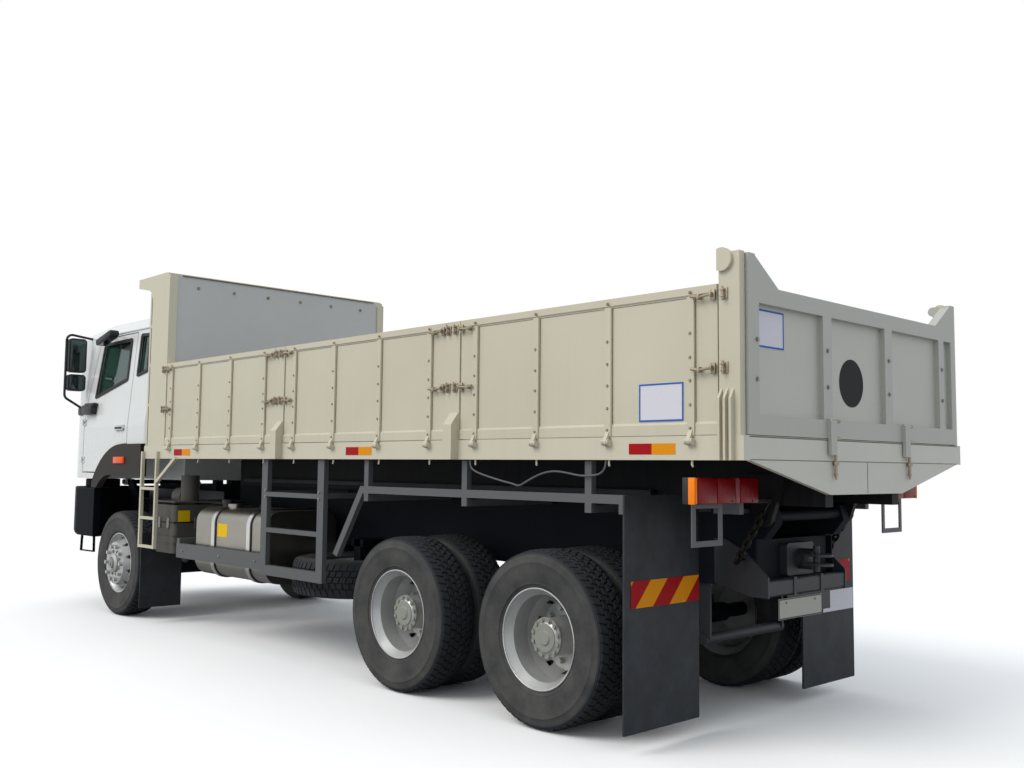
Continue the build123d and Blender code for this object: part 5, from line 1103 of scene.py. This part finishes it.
class TRUCK_OT_flap_stripes(bpy.types.Operator):
    """Red and amber stripes and blank labels on the rear flaps"""

    bl_idname = "truck.flap_stripes"
    bl_label = "Flap stripes"

    def execute(self, context):
        face = 0.7665
        inner, outer, low, high = 0.573, 1.186, 0.767, 0.913
        width, lean = 0.149, 0.132
        for hand, side in SIDES.items():
            here = on(side)
            bm = bmesh.new()
            for n in range(6):
                y = 0.420 + n * width
                quad = ((y + lean, low), (y + lean + width, low), (y + width, high), (y, high))
                bm.faces.new([bm.verts.new(here(face, a, b)) for a, b in quad]).material_index = n % 2
            for edge, keep in ((inner, 1), (outer, -1)):
                bmesh.ops.bisect_plane(
                    bm,
                    geom=bm.verts[:] + bm.edges[:] + bm.faces[:],
                    plane_co=here(face, edge, low),
                    plane_no=(0, side * keep, 0),
                    clear_inner=True,
                )
            made = bmesh.ops.extrude_face_region(bm, geom=bm.faces[:], use_keep_orig=True)["geom"]
            moved = [g for g in made if isinstance(g, bmesh.types.BMVert)]
            bmesh.ops.translate(bm, vec=(-0.0015, 0, 0), verts=moved)
            piece(f"flap_stripes_{hand}", bm, "red_film amber_film", "chassis")
        labels = (
            ((0.7655, -1.09, 1.165), (0.7675, -0.852, 1.308)),
            ((0.7655, -1.23, 0.571), (0.7675, -0.826, 0.712), 0.0, 1),
        )
        boxes("flap_labels", "label_beige white_film", "chassis", labels)
        return {"FINISHED"}


class TRUCK_OT_tank_straps(bpy.types.Operator):
    """Bright bands on dark rubber round the fuel tank"""

    bl_idname = "truck.tank_straps"
    bl_label = "Tank straps"

    def execute(self, context):
        bm = bmesh.new()
        for x, (width, gap, finish) in product((5.53, 4.92), ((0.078, 0.006, 1), (0.056, 0.0125, 0))):
            before = set(bm.faces)
            # The band passes round the tank a gap outside its wall, and ends at the chassis rail
            inner, outer = max(0.450 - gap, 0.484), 1.150 + gap
            low, high = 0.545 - gap, 1.140 + gap
            start = x - width / 2
            points = [at(start, y, z) for y, z in ((inner, low), (outer, low), (outer, high), (inner, high))]
            band = rim(bm, points, 0.005, 0.13 + gap, 10, slice(1, 3))
            made = bmesh.ops.extrude_face_region(bm, geom=band, use_keep_orig=True)["geom"]
            moved = [g for g in made if isinstance(g, bmesh.types.BMVert)]
            bmesh.ops.translate(bm, vec=(width, 0, 0), verts=moved)
            for face in set(bm.faces) - before:
                face.material_index = finish
        piece("tank_straps", bm, "rim_lip seal_rubber", "chassis")
        return {"FINISHED"}


class TRUCK_OT_side_fittings(bpy.types.Operator):
    """Tank filler, labels left blank, guard bolts, packing strips, and the battery box's lid"""

    bl_idname = "truck.side_fittings"
    bl_label = "Side fittings"

    def execute(self, context):
        bm = bmesh.new()
        bar(bm, at(5.72, 0.92, 1.130), at(5.72, 0.92, 1.185), 0.046, 24)
        bar(bm, at(5.72, 0.92, 1.180), at(5.72, 0.92, 1.204), 0.054, 12)
        bar(bm, at(5.30, 0.80, 1.138), at(5.30, 0.80, 1.168), 0.035, 20)
        piece("tank_filler", bm, "trim_plastic", "chassis")
        labels = (
            ((5.295, 1.1498, 0.898), (5.465, 1.1512, 1.010)),
            ((6.3085, 0.994, 0.975), (6.3105, 1.112, 1.088)),
        )
        boxes("yellow_labels", "yellow_film", "chassis", labels)
        bm = bmesh.new()
        upper = product((3.78, 4.555), (1.27, 1.32))
        lower = product((4.70, 5.30, 5.98), (0.741,))
        for (x, z), side in product((*upper, *lower), SIDES.values()):
            bolt(bm, at(x, side * 1.2195, z), (0, side, 0), 0.009)
        piece("guard_bolts", bm, "zinc_steel", "chassis")
        # Packing strips between the chassis rails and the body
        strips = [((1.20, side * 0.405, 1.358), (6.25, side * 0.478, 1.3935), 0.002) for side in SIDES.values()]
        boxes("body_packers", "flap_rubber", "chassis", strips)
        # Lid, seam and clips of the battery box, and two ribs below
        lid = (
            ((6.303, 0.46, 1.160), (6.69, 1.157, 1.176), 0.003),
            ((6.303, 0.46, 0.972), (6.69, 1.157, 0.984), 0.003, 1),
            *(((6.298, y - 0.02, 0.92), (6.312, y + 0.02, 1.02), 0.003, 2) for y in (0.62, 0.93)),
            *(((x - 0.02, 1.148, 0.92), (x + 0.02, 1.162, 1.02), 0.003, 2) for x in (6.42, 6.60)),
            *(((6.304, 0.50, z), (6.66, 1.154, z + 0.010), 0.002) for z in (0.78, 0.85)),
        )
        boxes("battery_lid", "box_plastic seal_rubber zinc_steel", "chassis", lid)
        return {"FINISHED"}


# ---------------------------------------------------------------- stage
FLOOR_RADIUS = 60.0
FADE_START, FADE_END = 4.0, 8.5  # the floor passes from shadowed to plain white over this distance
IMAGE_WIDTH, FOCAL_PIXELS, SENSOR = 1024, 1030.238, 36.0
EYE = (-2.87388, 5.56041, 1.52699)
YAW, PITCH, ROLL = 0.761206, 0.0804634, 0.0102819


class TRUCK_OT_stage(bpy.types.Operator):
    """Floor, soft light and the camera"""

    bl_idname = "truck.stage"
    bl_label = "Stage"

    def execute(self, context):
        self.lay_floor(context.scene)
        self.light(context.scene)
        self.stand_camera(context.scene)
        context.scene.view_settings.view_transform = "Standard"
        return {"FINISHED"}

    def lay_floor(self, scene):
        """A pale floor that keeps the shadow near the truck and turns plain further out"""
        colours = scene.truck_colours
        bm = bmesh.new()
        bmesh.ops.create_circle(bm, cap_ends=True, segments=96, radius=FLOOR_RADIUS)
        mesh = bpy.data.meshes.new("floor")
        bm.to_mesh(mesh)
        bm.free()
        material, tree, where = new_material("pale_floor")
        grain = add(tree, "TexNoise", {"Vector": where}, Scale=0.6, Detail=3.0)
        shade = add(tree, "MapRange", {"Value": grain}, To_Min=0.97, To_Max=1.0)
        white = {0: 1.0, 6: shade, 7: (*colours.background, 1.0)}
        tint = add(tree, "Mix", white, data_type="RGBA", blend_type="MULTIPLY")
        # Worn tarmac as far as the truck's underside can tell, a pale studio floor to the eye
        ray = add(tree, "LightPath").outputs
        two = {0: ray["Is Camera Ray"], 6: (*colours.ground, 1.0), 7: tint}
        matt = add(tree, "BsdfDiffuse", {"Color": add(tree, "Mix", two, data_type="RGBA")})
        glow = add(tree, "Emission", Color=(1, 1, 1, 1), Strength=1.0)
        reach = add(tree, "VectorMath", {0: where}, operation="LENGTH").outputs["Value"]
        fade = add(tree, "MapRange", {"Value": reach}, From_Min=FADE_START, From_Max=FADE_END)
        fade.interpolation_type = "SMOOTHSTEP"
        direct = ray["Is Camera Ray"]
        for kind in ("Is Glossy Ray", "Is Transmission Ray"):
            direct = add(tree, "Math", {0: direct, 1: ray[kind]}, operation="MAXIMUM")
        share = add(tree, "Math", {0: fade, 1: direct}, operation="MULTIPLY")
        blend = add(tree, "MixShader", {0: share, 1: matt, 2: glow})
        add(tree, "OutputMaterial", {"Surface": blend})
        mesh.materials.append(material)
        floor = bpy.data.objects.new("floor", mesh)
        scene.collection.objects.link(floor)

    def light(self, scene):
        """A white studio that lights softly from all round, and a broad lamp from the front left"""
        world = bpy.data.worlds.new("studio")
        world.use_nodes = True
        tree = world.node_tree
        tree.nodes.clear()
        ray = add(tree, "LightPath").outputs
        soft = add(tree, "Background", Color=(0.90, 0.95, 1.0, 1.0), Strength=0.92)
        white = add(tree, "Background", Color=(1.0, 1.0, 1.0, 1.0), Strength=1.0)
        both = {0: ray["Is Camera Ray"], 1: ray["Is Transmission Ray"]}
        clear = add(tree, "Math", both, operation="MAXIMUM")
        mixed = add(tree, "MixShader", {0: clear, 1: soft, 2: white})
        add(tree, "OutputWorld", {"Surface": mixed})
        scene.world = world
        sun = bpy.data.lights.new("soft_sun", "SUN")
        sun.energy = 1.6
        sun.angle = math.radians(35)
        sun.color = (1.0, 0.965, 0.91)
        lamp = bpy.data.objects.new("soft_sun", sun)
        lamp.matrix_world = Vector((0.35, 1.0, 0.95)).to_track_quat("Z", "Y").to_matrix().to_4x4()
        scene.collection.objects.link(lamp)

    def stand_camera(self, scene):
        """The camera low behind the truck's left corner"""
        camera = bpy.data.cameras.new("camera")
        camera.sensor_width = SENSOR
        camera.lens = FOCAL_PIXELS * SENSOR / IMAGE_WIDTH
        camera.clip_start, camera.clip_end = 0.1, 200.0
        holder = bpy.data.objects.new("camera", camera)
        flat = math.cos(PITCH)
        view = Vector((flat * math.cos(YAW), -flat * math.sin(YAW), math.sin(PITCH)))
        level = view.cross(Vector((0, 0, 1))).normalized()
        upright = level.cross(view)
        right = level * math.cos(ROLL) + upright * math.sin(ROLL)
        top = upright * math.cos(ROLL) - level * math.sin(ROLL)
        turn = Matrix((right, top, -view)).transposed().to_4x4()
        holder.matrix_world = Matrix.Translation(at(*EYE)) @ turn
        scene.collection.objects.link(holder)
        scene.camera = holder


STEPS = (
    TRUCK_OT_stage,
    TRUCK_OT_finishes,
    TRUCK_OT_cable,
    TRUCK_OT_tyres,
    TRUCK_OT_hubs,
    TRUCK_OT_spare_wheel,
    TRUCK_OT_dropside_fittings,
    TRUCK_OT_post_fittings,
    TRUCK_OT_signs,
    TRUCK_OT_gate_fittings,
    TRUCK_OT_headboard_fittings,
    TRUCK_OT_cab_trim,
    TRUCK_OT_cab_front,
    TRUCK_OT_seats,
    TRUCK_OT_rear_lamps,
    TRUCK_OT_flap_stripes,
    TRUCK_OT_tank_straps,
    TRUCK_OT_side_fittings,
)


class TRUCK_PT_looks(bpy.types.Panel):
    """The truck's pieces, sizes and colours"""

    bl_idname = "TRUCK_PT_looks"
    bl_label = "Tipper truck"
    bl_space_type = "VIEW_3D"
    bl_region_type = "UI"
    bl_category = "Truck"

    def draw(self, context):
        for group in (context.scene.truck_sizes, context.scene.truck_colours):
            for name in group.__annotations__:
                self.layout.prop(group, name)
        for step in STEPS:
            self.layout.operator(step.bl_idname)


CLASSES = (TruckSizes, TruckColours, *STEPS, TRUCK_PT_looks)


def register():
    for cls in CLASSES:
        bpy.utils.register_class(cls)
    bpy.types.Scene.truck_sizes = PointerProperty(type=TruckSizes)
    bpy.types.Scene.truck_colours = PointerProperty(type=TruckColours)


def unregister():
    del bpy.types.Scene.truck_colours
    del bpy.types.Scene.truck_sizes
    for cls in reversed(CLASSES):
        bpy.utils.unregister_class(cls)


def main():
    register()
    for step in STEPS:
        category, name = step.bl_idname.split(".")
        getattr(getattr(bpy.ops, category), name)()


if __name__ == "__main__":
    main()
